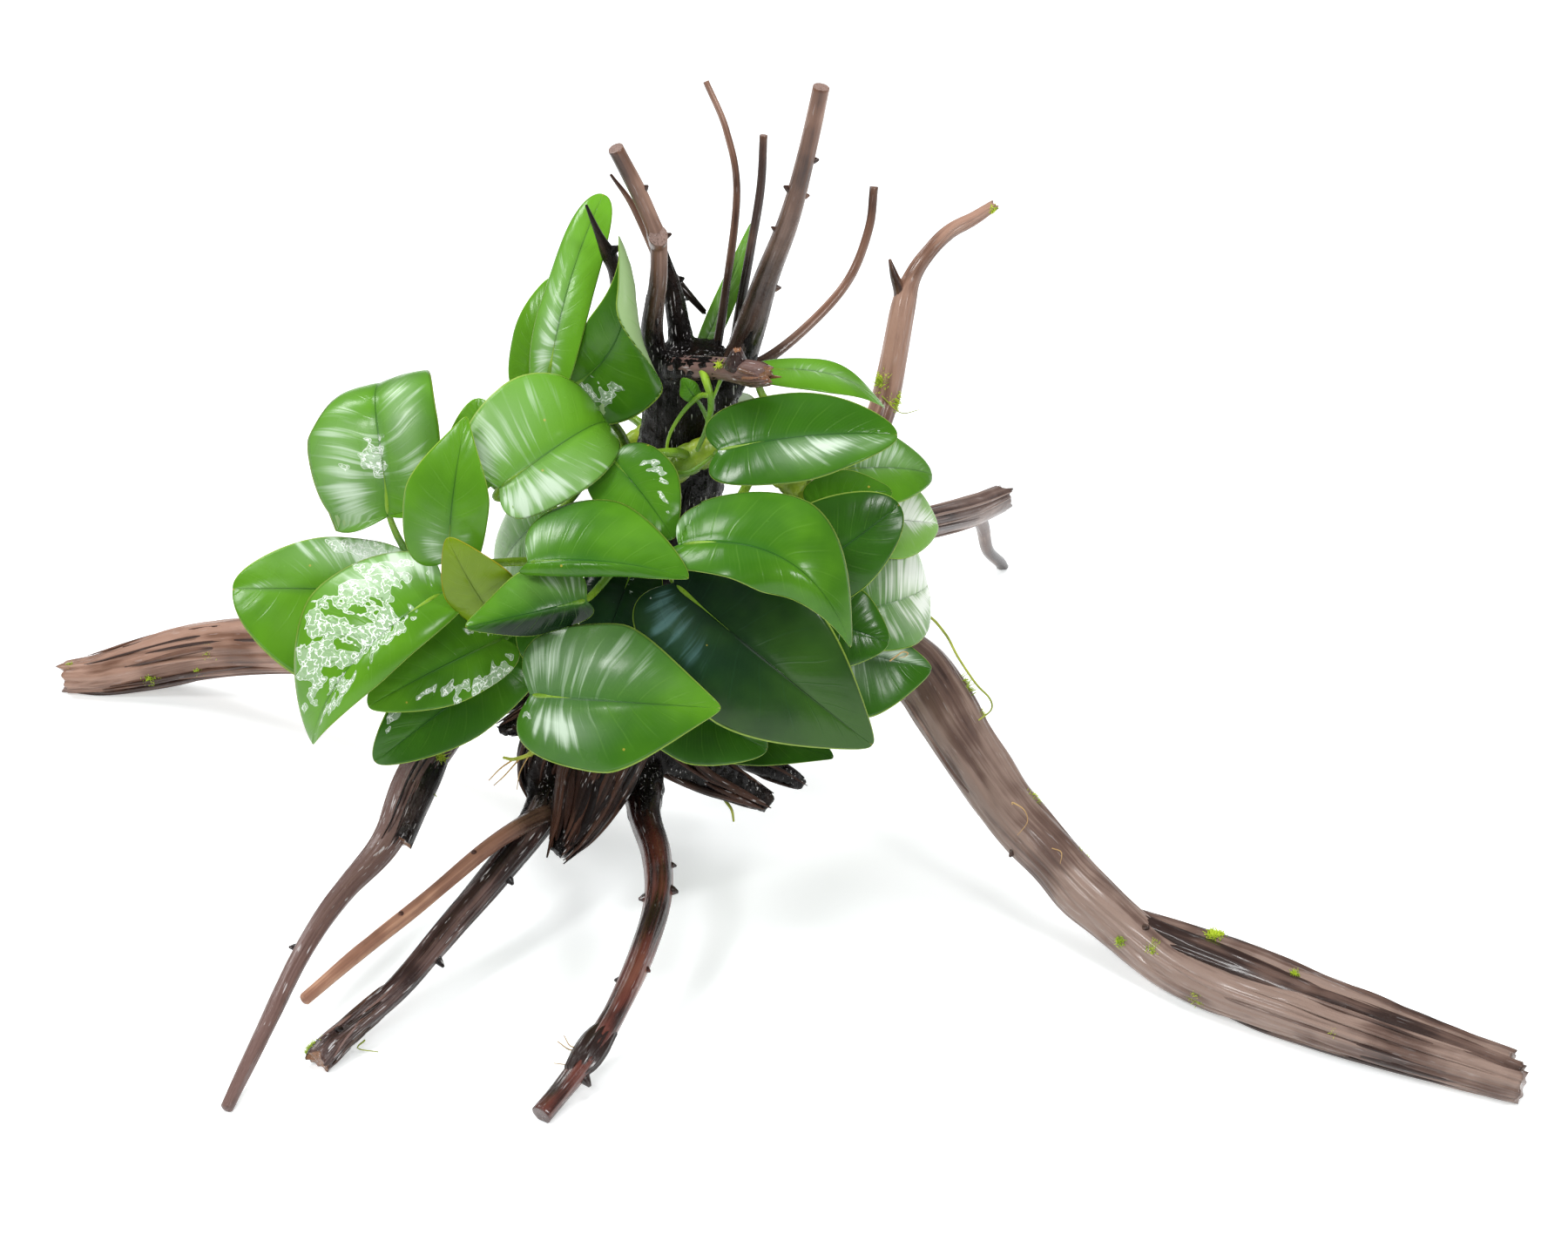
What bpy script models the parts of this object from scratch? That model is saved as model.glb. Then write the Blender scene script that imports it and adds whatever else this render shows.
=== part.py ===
"""Anubias growing on a piece of driftwood.

The wood stands on five feet: three thin legs at the front, the long right leg, the left branch
and a short back leg. Short shoots rise from the top of its stump. Three creeping rhizomes hug the
stump, and every leaf, blade and stem in one piece, springs from one of them.

Sizes below are in millimetres: X runs to the right, Y away from the viewer and Z up from the
surface that the wood rests on.
"""
import math
from dataclasses import dataclass

import bmesh
import bpy
import numpy as np

MM = 0.001
GAP = 0.35
FLOOR = 0.0

# Leaf sizes that all leaves share
BLADE_THICKNESS = 0.9
STEM_RADIUS = 1.25
STEM_SHARE = 0.12
STEM_SPREAD = 1.25
BLADE_ROWS = (0.09, 0.22, 0.37, 0.53, 0.7, 0.86)
BLADE_COLUMNS = (-1.0, -0.5, 0.0, 0.5, 1.0)
STEM_ROWS = 4
LOBE = 0.09
STEM_REACH = 0.38
STEM_END = 2.0

# Wood sizes that all limbs share, as shares of the limb's radius
TORN_JAG = (0.35, 0.3)
ROUND_END = 0.6


@dataclass(frozen=True)
class Limb:
    """A tapering length of wood along a route of (x, y, z, radius)."""
    route: tuple
    sides: int = 8
    ridge: float = 0.06
    start: str = "cut"
    end: str = "cut"
    colour: str = "wood_brown"


@dataclass(frozen=True)
class Leaf:
    """A blade from its base to its tip, on a stem from a point along a rhizome.

    facing is where its upper side looks, in degrees to the right of the viewer and upwards.
    halves are the greatest widths left and right of the midrib. rise and bend, in degrees, are the
    slope of each half where it leaves the midrib and how far it turns down to its margin, and roll
    is how much further it turns near the tip.
    """
    stem: tuple
    base: tuple
    tip: tuple
    facing: tuple
    halves: tuple
    arch: float = 0.1
    hook: float = 0.0
    rise: float = 10.0
    bend: tuple = (25, 25)
    roll: tuple = (0, 0)
    sway: float = 0.0
    point: tuple = (0.4, 0.4)
    neck: float = 50.0
    colour: str = "leaf_green"


COLOURS = {
    "wood_dark": ((0.020, 0.014, 0.012), 0.35),
    "wood_brown": ((0.085, 0.052, 0.045), 0.6),
    "wood_red": ((0.120, 0.040, 0.025), 0.45),
    "rhizome": ((0.330, 0.420, 0.060), 0.45),
    "leaf_green": ((0.085, 0.300, 0.020), 0.35),
    "leaf_deep": ((0.020, 0.110, 0.030), 0.3),
    "leaf_young": ((0.260, 0.380, 0.020), 0.4),
    "leaf_pale": ((0.360, 0.480, 0.250), 0.5),
}

# The stump: its trunk, and the torn pieces and flares that are one with it
STUMP_PARTS = {
    "trunk": Limb(((-44, -30, 34, 20), (-38, -28, 52, 21), (-31, -26, 74, 18), (-25, -25, 96, 16),
                   (-19, -24, 124, 14.5), (-14, -24, 150, 13.5), (-12, -24, 170, 13),
                   (-12, -24, 177, 11)), 12, 0.07),
    "left_flare": Limb(((-42, -32, 80, 9), (-53, -40, 62, 8.5), (-60, -45, 44, 7),
                        (-60, -50, 36, 4)), 7),
    "torn_chunk": Limb(((-34, -36, 76, 11), (-38, -47, 58, 13), (-43, -56, 46, 11),
                        (-48, -65, 36, 7), (-53, -72, 30, 3)), 9, 0.14, "cut", "torn"),
    "right_flare": Limb(((-34, -28, 66, 13), (-20, -33, 48, 11), (-10, -35, 38, 7),
                         (0, -34, 31, 5), (11, -32, 23, 3.6)), 8, 0.12, "cut", "torn"),
    "stub": Limb(((-10, -26, 46, 5), (4, -22, 33, 3.6), (14, -20, 27, 3.4), (22, -18, 21, 2.4)),
                 6, 0.1, "cut", "torn"),
    "ragged_knob": Limb(((-50, -34, 66, 5), (-63, -44, 62, 4), (-71, -50, 61, 2.4)),
                        6, 0.15, "cut", "torn"),
}

# The wood that forks from the stump
LIMBS = {
    "left_branch": Limb(((-34, -14, 58, 9), (-60, 0, 46, 9.5), (-95, 24, 40, 9.5), (-130, 48, 33, 9.3),
                         (-158, 62, 26, 9.2), (-180, 71, 19, 9.2), (-200, 75, 12, 8.8),
                         (-218, 76, 7, 7.4), (-231, 76, 5.5, 5.6)), 10, 0.08, "cut", "torn"),
    "right_leg": Limb(((-30, -26, 70, 11), (0, -20, 76, 11.5), (30, -16, 74, 11.5),
                       (57, -20, 64, 10.6), (72, -36, 48, 9.8), (86, -51, 33, 9),
                       (97, -62, 25, 8.6), (108, -74, 18, 8.4), (119, -85, 13, 8),
                       (132, -98, 8, 7.5), (147, -111, 7, 7.2), (165, -123, 7.5, 7),
                       (186, -135, 7, 6.6), (208, -146, 6, 6), (230, -156, 5, 5.2)),
                      10, 0.08, "cut", "torn"),
    "back_right_branch": Limb(((-16, -22, 92, 7), (4, 0, 98, 6.4), (26, 32, 100, 5.6),
                               (41, 56, 103, 5.1), (48, 68, 112, 4.7), (52, 75, 128, 4.4),
                               (55, 82, 143, 4), (58, 87, 151, 3.1), (63, 90, 158, 2.8),
                               (70, 94, 164, 2.6), (78, 98, 167, 2.3), (85, 102, 170, 1.9)),
                              8, 0.05, "cut", "torn"),
    "back_leg": Limb(((-24, -18, 52, 7), (0, 8, 58, 6.4), (28, 46, 64, 5.6), (54, 80, 60, 5.2),
                      (67, 98, 54, 5.3), (80, 118, 47, 5.3), (93, 140, 41, 4.6)),
                     8, 0.06, "cut", "torn"),
    "front_left_leg": Limb(((-40, -26, 68, 7), (-66, -33, 66, 7), (-82, -39, 62, 6),
                            (-92, -47, 53, 5.8), (-99, -55, 44, 5.6), (-106, -70, 33, 4.6),
                            (-117, -88, 28, 3.4), (-124, -104, 25, 3.1), (-130, -119, 20, 2.9),
                            (-135, -134, 14, 2.7), (-140, -148, 8, 2.3), (-145, -161, 1.5, 1.9)),
                           7, 0.05, "cut", "round"),
    "front_leg": Limb(((-46, -32, 50, 8), (-54, -44, 41, 7), (-61, -60, 34, 5.6), (-72, -78, 27, 4.8),
                       (-85, -97, 20, 4.2), (-99, -118, 13, 3.8), (-113, -132, 7, 3.6),
                       (-118, -137, 4.8, 4.2), (-121, -141, 3, 4.0)), 8, 0.06, "cut", "torn"),
    "thin_stick": Limb(((-57, -60, 37, 3), (-65, -69, 38, 2.8), (-76, -80, 36, 2.5),
                        (-94, -100, 30, 2.4), (-110, -119, 26, 2.3), (-124, -136, 22, 1.9)),
                       7, 0.03, "cut", "round", "wood_red"),
    "centre_leg": Limb(((-32, -34, 48, 7), (-28, -46, 39, 6.4), (-27, -57, 34, 5),
                        (-23, -72, 30, 4.5), (-22, -90, 27, 4.2), (-26, -112, 23, 3.9),
                        (-32, -130, 17, 3.6), (-40, -145, 10, 3.7), (-48, -157, 5, 3.1),
                        (-54, -166, 2.4, 3)), 8, 0.05, "cut", "cut", "wood_red"),
    "broken_stub": Limb(((-13, -26, 172, 4), (-16, -34, 177, 3.9), (-9, -40, 180, 3.5),
                         (-1, -47, 183, 3.4), (7, -54, 185, 4), (11, -57, 186, 3)),
                        8, 0.12, "cut", "torn"),
    "left_shoot": Limb(((-21, -26, 166, 4), (-22, -28, 176, 3.6), (-23, -30, 188, 3.2),
                        (-21, -31, 203, 2.8), (-20.5, -32, 215, 2.6), (-21, -33, 219, 3),
                        (-22, -34, 223, 2.5), (-26, -35, 234, 2.4), (-32, -37, 248, 2.4)),
                       8, 0.04),
    "inner_shoot": Limb(((-14, -19, 168, 4), (-15, -18, 180, 3.6), (-17, -17, 194, 2.8),
                         (-20, -16, 206, 1.8)), 7, 0.06, "cut", "torn", "wood_dark"),
    "splinter_shoot": Limb(((-18, -16, 156, 3), (-30, -14, 172, 2.4), (-33, -20, 190, 2),
                            (-33.5, -28, 205, 2), (-35, -31, 212, 2.2), (-37.5, -33, 219, 1.2),
                            (-41, -34, 229, 0.4)),
                           6, 0.04, "cut", "round", "wood_dark"),
    "thin_shoot_left": Limb(((-6, -21, 166, 1.6), (-2, -13, 188, 1.3), (2, -5, 220, 1.15),
                             (-1, 0, 238, 1.05), (-7, 4, 252, 0.9)), 6, 0.02),
    "thin_shoot_right": Limb(((0, -15, 166, 1.8), (3, -12, 187, 1.5), (6, -11, 205, 1.4),
                              (9, -10, 224, 1.3), (10, -8, 240, 1.2)), 6, 0.02),
    "thick_shoot": Limb(((-4, -28, 164, 5.2), (2, -28, 175, 4.9), (6.5, -28.5, 189, 4.4),
                         (11, -29, 204, 3.6), (17.5, -32, 224, 3), (22.5, -35, 245, 2.6),
                         (26.5, -38, 267, 2.3)), 8, 0.05),
    "bent_shoot": Limb(((-4, -18, 166, 2), (10, -19, 172, 1.7), (24, -10, 180, 1.5),
                        (35.5, 0, 190, 1.4), (41.5, 6, 204, 1.3), (43, 10, 216, 1.3)), 6, 0.02),
}

# Short side pieces that are one with the limb they fork from
SPURS = {
    "right_leg": (Limb(((124, -83, 13, 4), (135, -89, 11, 5.2), (150, -97, 11, 5.6),
                        (168, -111, 11, 5.4), (188, -125, 10, 5), (210, -138, 8.5, 4.5),
                        (228, -148, 7.5, 3.6)), 8, 0.12, "round", "torn"),),
    "back_right_branch": (Limb(((54, 81, 140, 2.6), (54, 83, 147, 2.2), (52, 84, 153, 1.5),
                                (50.5, 85, 158, 0.6)), 6),),
    "back_leg": (Limb(((82, 122, 46, 3.6), (86, 133, 34, 2.6), (89, 146, 17, 2.2),
                       (95, 161, 3, 2.2), (96, 165, -2, 2.2)), 6),),
    "front_left_leg": (Limb(((-95, -51, 49, 4.6), (-100, -58, 42, 5), (-104, -65, 37, 4.6)),
                            7, 0.08, "cut", "torn"),),
    "left_shoot": (Limb(((-21, -31.5, 212, 1.6), (-28, -29, 227, 1), (-34, -28, 236, 0.45)), 6),),
    "inner_shoot": (Limb(((-18.5, -16.5, 201, 1.4), (-14, -13, 193, 1.3), (-8, -10, 184, 0.9)), 6),),
}

# The piece whose collar trims the root of a limb, where that isn't the stump
FORKS_FROM = {"thin_stick": "front_leg"}

RHIZOMES = {
    "rhizome_upper": Limb(((-86, -43, 90, 2.6), (-67, -48, 104, 4), (-47, -49, 120, 4.6),
                           (-29, -45, 137, 4.8), (-12, -42, 151, 4.8), (4, -42, 154, 4.8),
                           (18, -41, 143, 4.4), (30, -39, 127, 4), (38, -34, 110, 2.6)),
                          8, 0.05, "round", "round", "rhizome"),
    "rhizome_lower": Limb(((-66, -50, 84, 2.6), (-48, -53, 90, 4), (-30, -48, 95, 4.6),
                           (-12, -47, 97, 4.6), (8, -46, 94, 4.2), (28, -42, 88, 2.8)),
                          8, 0.05, "round", "round", "rhizome"),
    "rhizome_back": Limb(((-38, -14, 128, 2.6), (-34, -8, 134, 3.8), (-24, -2, 139, 4.4),
                          (-10, -1, 141, 4.4), (4, -8, 139, 4), (14, -18, 134, 2.6)),
                         8, 0.05, "round", "round", "rhizome"),
}

LEAVES = {
    # The upper left group, which stands up beside the shoots
    "leaf_01": Leaf(("rhizome_back", 0.16), (-53, -46, 178), (-37, -12, 223), (-10, 20), (8, 8),
                    bend=(60, 15), sway=-0.02, point=(-0.5, -0.3)),
    "leaf_02": Leaf(("rhizome_back", 0.04), (-60, -26, 166), (-53, -14, 197), (-20, 20), (8, 11)),
    "leaf_03": Leaf(("rhizome_back", 0.26), (-47, -39, 173), (-32, -33, 219), (0, 20), (10, 20),
                    sway=0.18, bend=(20, 0), roll=(0, -120), point=(1, 0.2)),
    # The left side, from the top down
    "leaf_04": Leaf(("rhizome_upper", 0.05), (-101, -56, 139), (-103, -14, 161), (-18, 25), (24, 19),
                    arch=0, hook=1.0, sway=0.1, point=(0.6, -0.3)),
    "leaf_05": Leaf(("rhizome_upper", 0.24), (-81, -83, 139), (-75, -70, 179), (-10, 25), (15, 11),
                    point=(0.7, 0.7)),
    "leaf_06": Leaf(("rhizome_upper", 0.3), (-71, -44, 143), (-75, -36, 168), (-10, 25), (12, 14)),
    "leaf_07": Leaf(("rhizome_upper", 0.4), (-66, -76, 159), (-36, -45, 164), (0, 35), (24, 15),
                    hook=0.5, point=(0, 0)),
    "leaf_08": Leaf(("rhizome_upper", 0.5), (-34, -62, 161), (-16, -79, 144), (15, 40), (13, 13),
                    point=(0.5, 0.5)),
    "leaf_09": Leaf(("rhizome_upper", 0.34), (-57, -95, 145), (-11, -106, 146), (0, 60), (24, 6),
                    bend=(40, 140), point=(0.6, 0.6)),
    "leaf_11": Leaf(("rhizome_upper", 0.1), (-97, -60, 116), (-147, -66, 120), (-15, 35), (30, 16),
                    arch=0.08, point=(0.2, 0.2)),
    "leaf_12": Leaf(("rhizome_upper", 0.135), (-83, -84, 129), (-122, -98, 86), (-25, 45), (11, 27),
                    arch=0.22, bend=(60, 30), point=(0.6, 0.6)),
    "leaf_13": Leaf(("rhizome_upper", 0.18), (-67, -76, 109), (-106, -90, 94), (-10, 30), (12, 16),
                    arch=0.12),
    "leaf_14": Leaf(("rhizome_lower", 0.04), (-63, -59, 95), (-107, -76, 66), (-10, 20), (13, 16)),
    "leaf_15": Leaf(("rhizome_upper", 0.28), (-68, -85, 121), (-80, -91, 151), (-5, 15), (9, 12),
                    colour="leaf_young"),
    "leaf_16": Leaf(("rhizome_upper", 0.46), (-41, -92, 131), (-75, -104, 129), (-10, 25), (8, 13),
                    rise=-12, bend=(30, 20), point=(0.6, 0.6)),
    # The front
    "leaf_38": Leaf(("rhizome_lower", 0.2), (-56, -60, 108), (-48, -67, 91), (0, 20), (9, 11)),
    "leaf_17": Leaf(("rhizome_lower", 0.3), (-57, -105, 107), (-2, -119, 111), (0, 30), (24, 21),
                    bend=(50, 25), point=(0.7, 0.7)),
    "leaf_18": Leaf(("rhizome_lower", 0.75), (-16, -80, 130), (42, -92, 82), (5, 20), (22, 24),
                    point=(0.6, 0.6), colour="leaf_deep"),
    "leaf_19": Leaf(("rhizome_lower", 0.5), (-28, -70, 130), (-38, -80, 104), (-10, 20), (12, 13),
                    colour="leaf_deep"),
    "leaf_20": Leaf(("rhizome_lower", 0.62), (-23, -74, 89), (11, -80, 73), (0, 35), (11, 15)),
    "leaf_21": Leaf(("rhizome_lower", 0.88), (-5, -52, 58), (31, -64, 60), (10, 65), (10, 9),
                    neck=-30),
    "leaf_10": Leaf(("rhizome_upper", 0.66), (-14, -92, 149), (35, -107, 124), (15, 55), (22, 12),
                    arch=0.3, sway=-0.08, bend=(30, 20), roll=(0, 90), point=(0.8, 0.8)),
    # The right side, from the top down
    "leaf_22": Leaf(("rhizome_upper", 0.6), (-3, -62, 164), (49, -58, 167), (0, 50), (15, 14),
                    point=(0.3, 0.3)),
    "leaf_23": Leaf(("rhizome_upper", 0.72), (10, -38, 178), (46, -26, 160), (-20, 70), (6, 8),
                    arch=0.14),
    "leaf_24": Leaf(("rhizome_upper", 0.8), (15, -66, 120), (50, -56, 143), (10, 25), (17, 14),
                    point=(0.1, 0.1)),
    "leaf_25": Leaf(("rhizome_upper", 0.95), (38, -50, 103), (60, -24, 98), (20, 25), (20, 15),
                    arch=0.2, point=(0.2, 0.2), colour="leaf_pale"),
    "leaf_26": Leaf(("rhizome_upper", 0.9), (25, -68, 112), (47, -70, 104), (15, 30), (12, 13)),
    "leaf_27": Leaf(("rhizome_lower", 0.96), (29, -50, 90), (61, -48, 82), (20, 35), (9, 19),
                    point=(0.6, 0.6)),
    "leaf_28": Leaf(("rhizome_upper", 0.76), (30, -40, 146), (61, -22, 135), (20, 50), (14, 12)),
    "leaf_29": Leaf(("rhizome_upper", 0.88), (38, -40, 129), (63, -22, 118), (30, 35), (13, 12),
                    colour="leaf_pale"),
    "leaf_30": Leaf(("rhizome_upper", 0.83), (24, -50, 139), (48, -46, 142), (10, 50), (9, 9)),
    "leaf_31": Leaf(("rhizome_back", 0.76), (-10, -7, 168), (6, 1, 208), (-25, 15), (3, 4),
                    sway=0.06, neck=65),
    "leaf_32": Leaf(("rhizome_upper", 0.56), (-10, -46, 173), (-14, -43, 178), (-10, 30), (3, 3)),
    # The back, from the left to the right
    "leaf_33": Leaf(("rhizome_back", 0.1), (-56, -14, 118), (-74, 2, 82), (-60, 30), (16, 16)),
    "leaf_34": Leaf(("rhizome_back", 0.38), (-36, 12, 142), (-54, 38, 106), (-150, 40), (17, 16)),
    "leaf_35": Leaf(("rhizome_back", 0.56), (-12, 18, 142), (-6, 48, 104), (180, 35), (17, 18)),
    "leaf_36": Leaf(("rhizome_back", 0.9), (14, 6, 142), (34, 34, 112), (150, 40), (15, 16)),
    "leaf_37": Leaf(("rhizome_upper", 0.99), (44, -16, 104), (56, 8, 74), (120, 35), (14, 14)),
}


def unit(vector):
    """The vector, or each row of vectors, at length one."""
    vector = np.asarray(vector, float)
    return vector / np.linalg.norm(vector, axis=-1, keepdims=True)


def smooth_route(points, steps):
    """A Catmull-Rom curve through the points, with the radius as its fourth column."""
    points = np.array(points, float)
    before = 2 * points[0] - points[1]
    after = 2 * points[-1] - points[-2]
    ends = np.vstack([before, points, after])
    t = (np.arange(steps) / steps)[:, None]
    spans = []
    for a, b, c, d in zip(ends, ends[1:], ends[2:], ends[3:]):
        spans.append(0.5 * (2 * b + (c - a) * t + (2 * a - 5 * b + 4 * c - d) * t ** 2
                            + (3 * b - a - 3 * c + d) * t ** 3))
    return np.vstack(spans + [points[-1:]])


def carried_frames(centres):
    """Two side directions for each point of a line, carried along it without a twist."""
    ahead = unit(np.gradient(centres, axis=0))
    across = np.zeros_like(ahead)
    start = np.array([0.0, 0.0, 1.0]) if abs(ahead[0][2]) < 0.9 else np.array([1.0, 0.0, 0.0])
    for i, direction in enumerate(ahead):
        start = start - direction * (start @ direction)
        start = start / np.linalg.norm(start)
        across[i] = start
    return ahead, across, np.cross(ahead, across)


def limb_rings(limb, grow=0.0):
    """Rings around a limb's route, with low ridges along it and torn or rounded ends."""
    path = np.array(limb.route, float)
    centres, radii = path[:, :3], path[:, 3]
    ahead, across, other = carried_frames(centres)
    angle = np.arange(limb.sides) * 2 * math.pi / limb.sides
    along = np.arange(len(path))[:, None]
    bark = 1 + limb.ridge * (np.sin(3 * angle + 0.5 * along) + 0.6 * np.cos(2 * angle - 0.8 * along))
    reach = (radii[:, None] * bark + grow)[:, :, None]
    rings = (centres[:, None] + across[:, None] * np.cos(angle)[:, None] * reach
             + other[:, None] * np.sin(angle)[:, None] * reach)
    jag = TORN_JAG[0] * np.sin(2 * angle + 1) + TORN_JAG[1] * np.cos(3 * angle)
    for kind, row, sign in ((limb.start, 0, -1), (limb.end, -1, 1)):
        if kind == "torn":
            rings[row] += ahead[row] * (jag * radii[row] * sign)[:, None]
        rings[row] += ahead[row] * grow * sign
    caps = [centres[0] - ahead[0] * grow, centres[-1] + ahead[-1] * grow]
    if limb.start == "round":
        caps[0] = caps[0] - ahead[0] * radii[0] * ROUND_END
    if limb.end == "round":
        caps[1] = caps[1] + ahead[-1] * radii[-1] * ROUND_END
    return rings, caps


def leaf_outline(t, point):
    """Half width and height of the blade's margin at t, from its heart-shaped base to its tip."""
    rise = ((1 - np.cos(math.pi * t)) / 2) ** 1.35
    near = np.clip(t / 0.45, 0, 1)
    height = rise - LOBE * 4 * near * (1 - near)
    narrowing = 1 - point * np.clip((height - 0.45) / 0.55, 0, 1) ** 1.5
    return np.sin(math.pi * t) * narrowing, height


class Blade:
    """A leaf's curved surface, from its leaf sizes."""

    def __init__(self, leaf):
        self.leaf = leaf
        self.base = np.array(leaf.base, float)
        chord = np.array(leaf.tip, float) - self.base
        self.length = np.linalg.norm(chord)
        self.axis = chord / self.length
        turn, lift = (math.radians(a) for a in leaf.facing)
        facing = np.array([math.sin(turn) * math.cos(lift), -math.cos(turn) * math.cos(lift),
                           math.sin(lift)])
        self.normal = unit(facing - self.axis * (facing @ self.axis))
        self.side = np.cross(self.axis, self.normal)

    def midrib(self, y):
        """Points of the midrib, which bows up from the straight line between base and tip."""
        inside = np.clip(y, 0, 1)
        bow = 4 * inside * (1 - inside) + 4 * np.minimum(y, 0)
        rise = self.leaf.arch * bow + self.leaf.hook * (inside - inside ** 3)
        sway = self.leaf.sway * 4 * inside * (1 - inside)
        return self.base + self.length * (np.multiply.outer(y, self.axis)
                                          + np.multiply.outer(rise, self.normal)
                                          + np.multiply.outer(sway, self.side))

    def frame(self, y):
        """Directions along, across and out of the blade on its midrib."""
        step = 0.001
        along = unit(self.midrib(y + step) - self.midrib(y - step))
        across = unit(self.side - along * (along @ self.side)[..., None])
        return along, across, np.cross(across, along)

    def surface(self, t, v):
        """Points of the blade: t runs along the margin, v from its left edge to its right.

        Across the blade each half is an arc that leaves the midrib at the rise angle and has
        turned down by the bend angle at its widest margin.
        """
        t, v = np.broadcast_arrays(np.asarray(t, float), np.asarray(v, float))
        half_width, height = leaf_outline(t, np.where(v < 0, *self.leaf.point))
        start = t ** 1.9
        y = start + (height - start) * np.abs(v) ** 1.3
        _, across, out = self.frame(y)
        near_tip = np.clip((y - 0.25) / 0.45, 0, 1)
        near_tip = near_tip * near_tip * (3 - 2 * near_tip)
        rise = math.radians(self.leaf.rise)
        turns = [np.radians(bend * half_width + roll * near_tip) + 1e-4
                 for bend, roll in zip(self.leaf.bend, self.leaf.roll)]
        turn = np.where(v < 0, *turns)
        slope = rise - turn * np.abs(v)
        half = np.where(v < 0, -self.leaf.halves[0], self.leaf.halves[1])
        x = half_width * (math.sin(rise) - np.sin(slope)) / turn
        lift = half_width * (np.cos(slope) - math.cos(rise)) / turn
        return (self.midrib(y) + across * (x * half)[..., None]
                + out * (lift * np.abs(half))[..., None])

    def out(self, t, v):
        """Directions out of the blade's upper side."""
        step = 0.002
        up = self.surface(min(t + step, 1), v) - self.surface(max(t - step, 0), v)
        over = self.surface(t, v + step) - self.surface(t, v - step)
        return unit(np.cross(over, up))


def stem_rings(blade, root, outward, count):
    """Round rings along the stem's curve from its root to the base of the blade."""
    along, across, out = blade.frame(np.array(0.0))
    reach = np.linalg.norm(blade.base - root) * STEM_REACH
    neck = math.radians(blade.leaf.neck)
    bend = blade.base - (along * math.cos(neck) + out * math.sin(neck)) * reach
    t = np.linspace(0, 1 - STEM_END / (3 * reach), STEM_ROWS)[:, None]
    lift_off = root + outward * reach
    path = ((1 - t) ** 3 * root + 3 * (1 - t) ** 2 * t * lift_off
            + 3 * (1 - t) * t ** 2 * bend + t ** 3 * blade.base)
    ahead = unit((1 - t) ** 2 * (lift_off - root) + 2 * (1 - t) * t * (bend - lift_off)
                 + t ** 2 * (blade.base - bend))
    angle = math.pi - np.arange(count) * 2 * math.pi / count
    thick = min(STEM_RADIUS, STEM_SHARE * sum(blade.leaf.halves))
    rings = []
    for centre, direction, far in zip(path, ahead, t[:, 0]):
        side = unit(across - direction * (across @ direction))
        top = np.cross(side, direction)
        radius = thick * (STEM_SPREAD - (STEM_SPREAD - 0.9) * far)
        rings.append(centre + radius * (np.outer(np.cos(angle), side) + np.outer(np.sin(angle), top)))
    return rings, path[0]


def leaf_rings(leaf, rhizomes):
    """Rings from the stem's root over the blade to its tip, and the points that close them."""
    blade = Blade(leaf)
    name, where = leaf.stem
    path = smooth_route(rhizomes[name].route, 8)
    spot = path[int(round(where * (len(path) - 1)))]
    ahead = unit(np.gradient(path[:, :3], axis=0))[int(round(where * (len(path) - 1)))]
    outward = blade.base - spot[:3]
    outward = unit(outward - ahead * (outward @ ahead))
    thick_rhizome = spot[3] * (1 + 1.7 * rhizomes[name].ridge)
    root = spot[:3] + outward * (thick_rhizome + GAP)
    columns = np.array(BLADE_COLUMNS)
    rings, start = stem_rings(blade, root, outward, 2 * len(columns) - 2)
    for t in BLADE_ROWS:
        middle = blade.surface(t, columns)
        half = blade.out(t, columns) * (BLADE_THICKNESS / 2 * (1 - columns ** 2))[:, None]
        rings.append(np.vstack([middle + half, (middle - half)[1:-1][::-1]]))
    return rings, [start, blade.surface(1.0, 0.0)]


def loft(name, rings, caps, thin=False):
    """One closed object from rings of equal count, closed by a fan at each end.

    In a thin blade the second half of each ring folds the other way, so both sides fold alike.
    """
    mesh = bpy.data.meshes.new(name)
    bm = bmesh.new()
    rows = [[bm.verts.new(point * MM) for point in ring] for ring in rings]
    first, last = (bm.verts.new(np.asarray(point) * MM) for point in caps)
    count = len(rows[0])
    for j in range(count):
        k = (j + 1) % count
        bm.faces.new((first, rows[0][k], rows[0][j]))
        bm.faces.new((last, rows[-1][j], rows[-1][k]))
        for low, high in zip(rows, rows[1:]):
            if 2 * j < count or not thin:
                bm.faces.new((low[j], low[k], high[k]))
                bm.faces.new((low[j], high[k], high[j]))
            else:
                bm.faces.new((low[j], low[k], high[j]))
                bm.faces.new((low[k], high[k], high[j]))
    if bm.calc_volume(signed=True) < 0:
        bmesh.ops.reverse_faces(bm, faces=bm.faces)
    bm.to_mesh(mesh)
    bm.free()
    mesh.shade_smooth()
    piece = bpy.data.objects.new(name, mesh)
    bpy.context.scene.collection.objects.link(piece)
    return piece


def hide_guide(piece):
    """Keep a piece as a guide for a Boolean, out of the model."""
    piece.hide_render = True
    piece.display_type = "WIRE"


def add_boolean(piece, other, operation):
    """Join another piece to this one, or take it away, by an exact Boolean."""
    modifier = piece.modifiers.new(f"{operation.lower()}_{other.name}", "BOOLEAN")
    modifier.operation = operation
    modifier.solver = "EXACT"
    modifier.object = other


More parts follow.
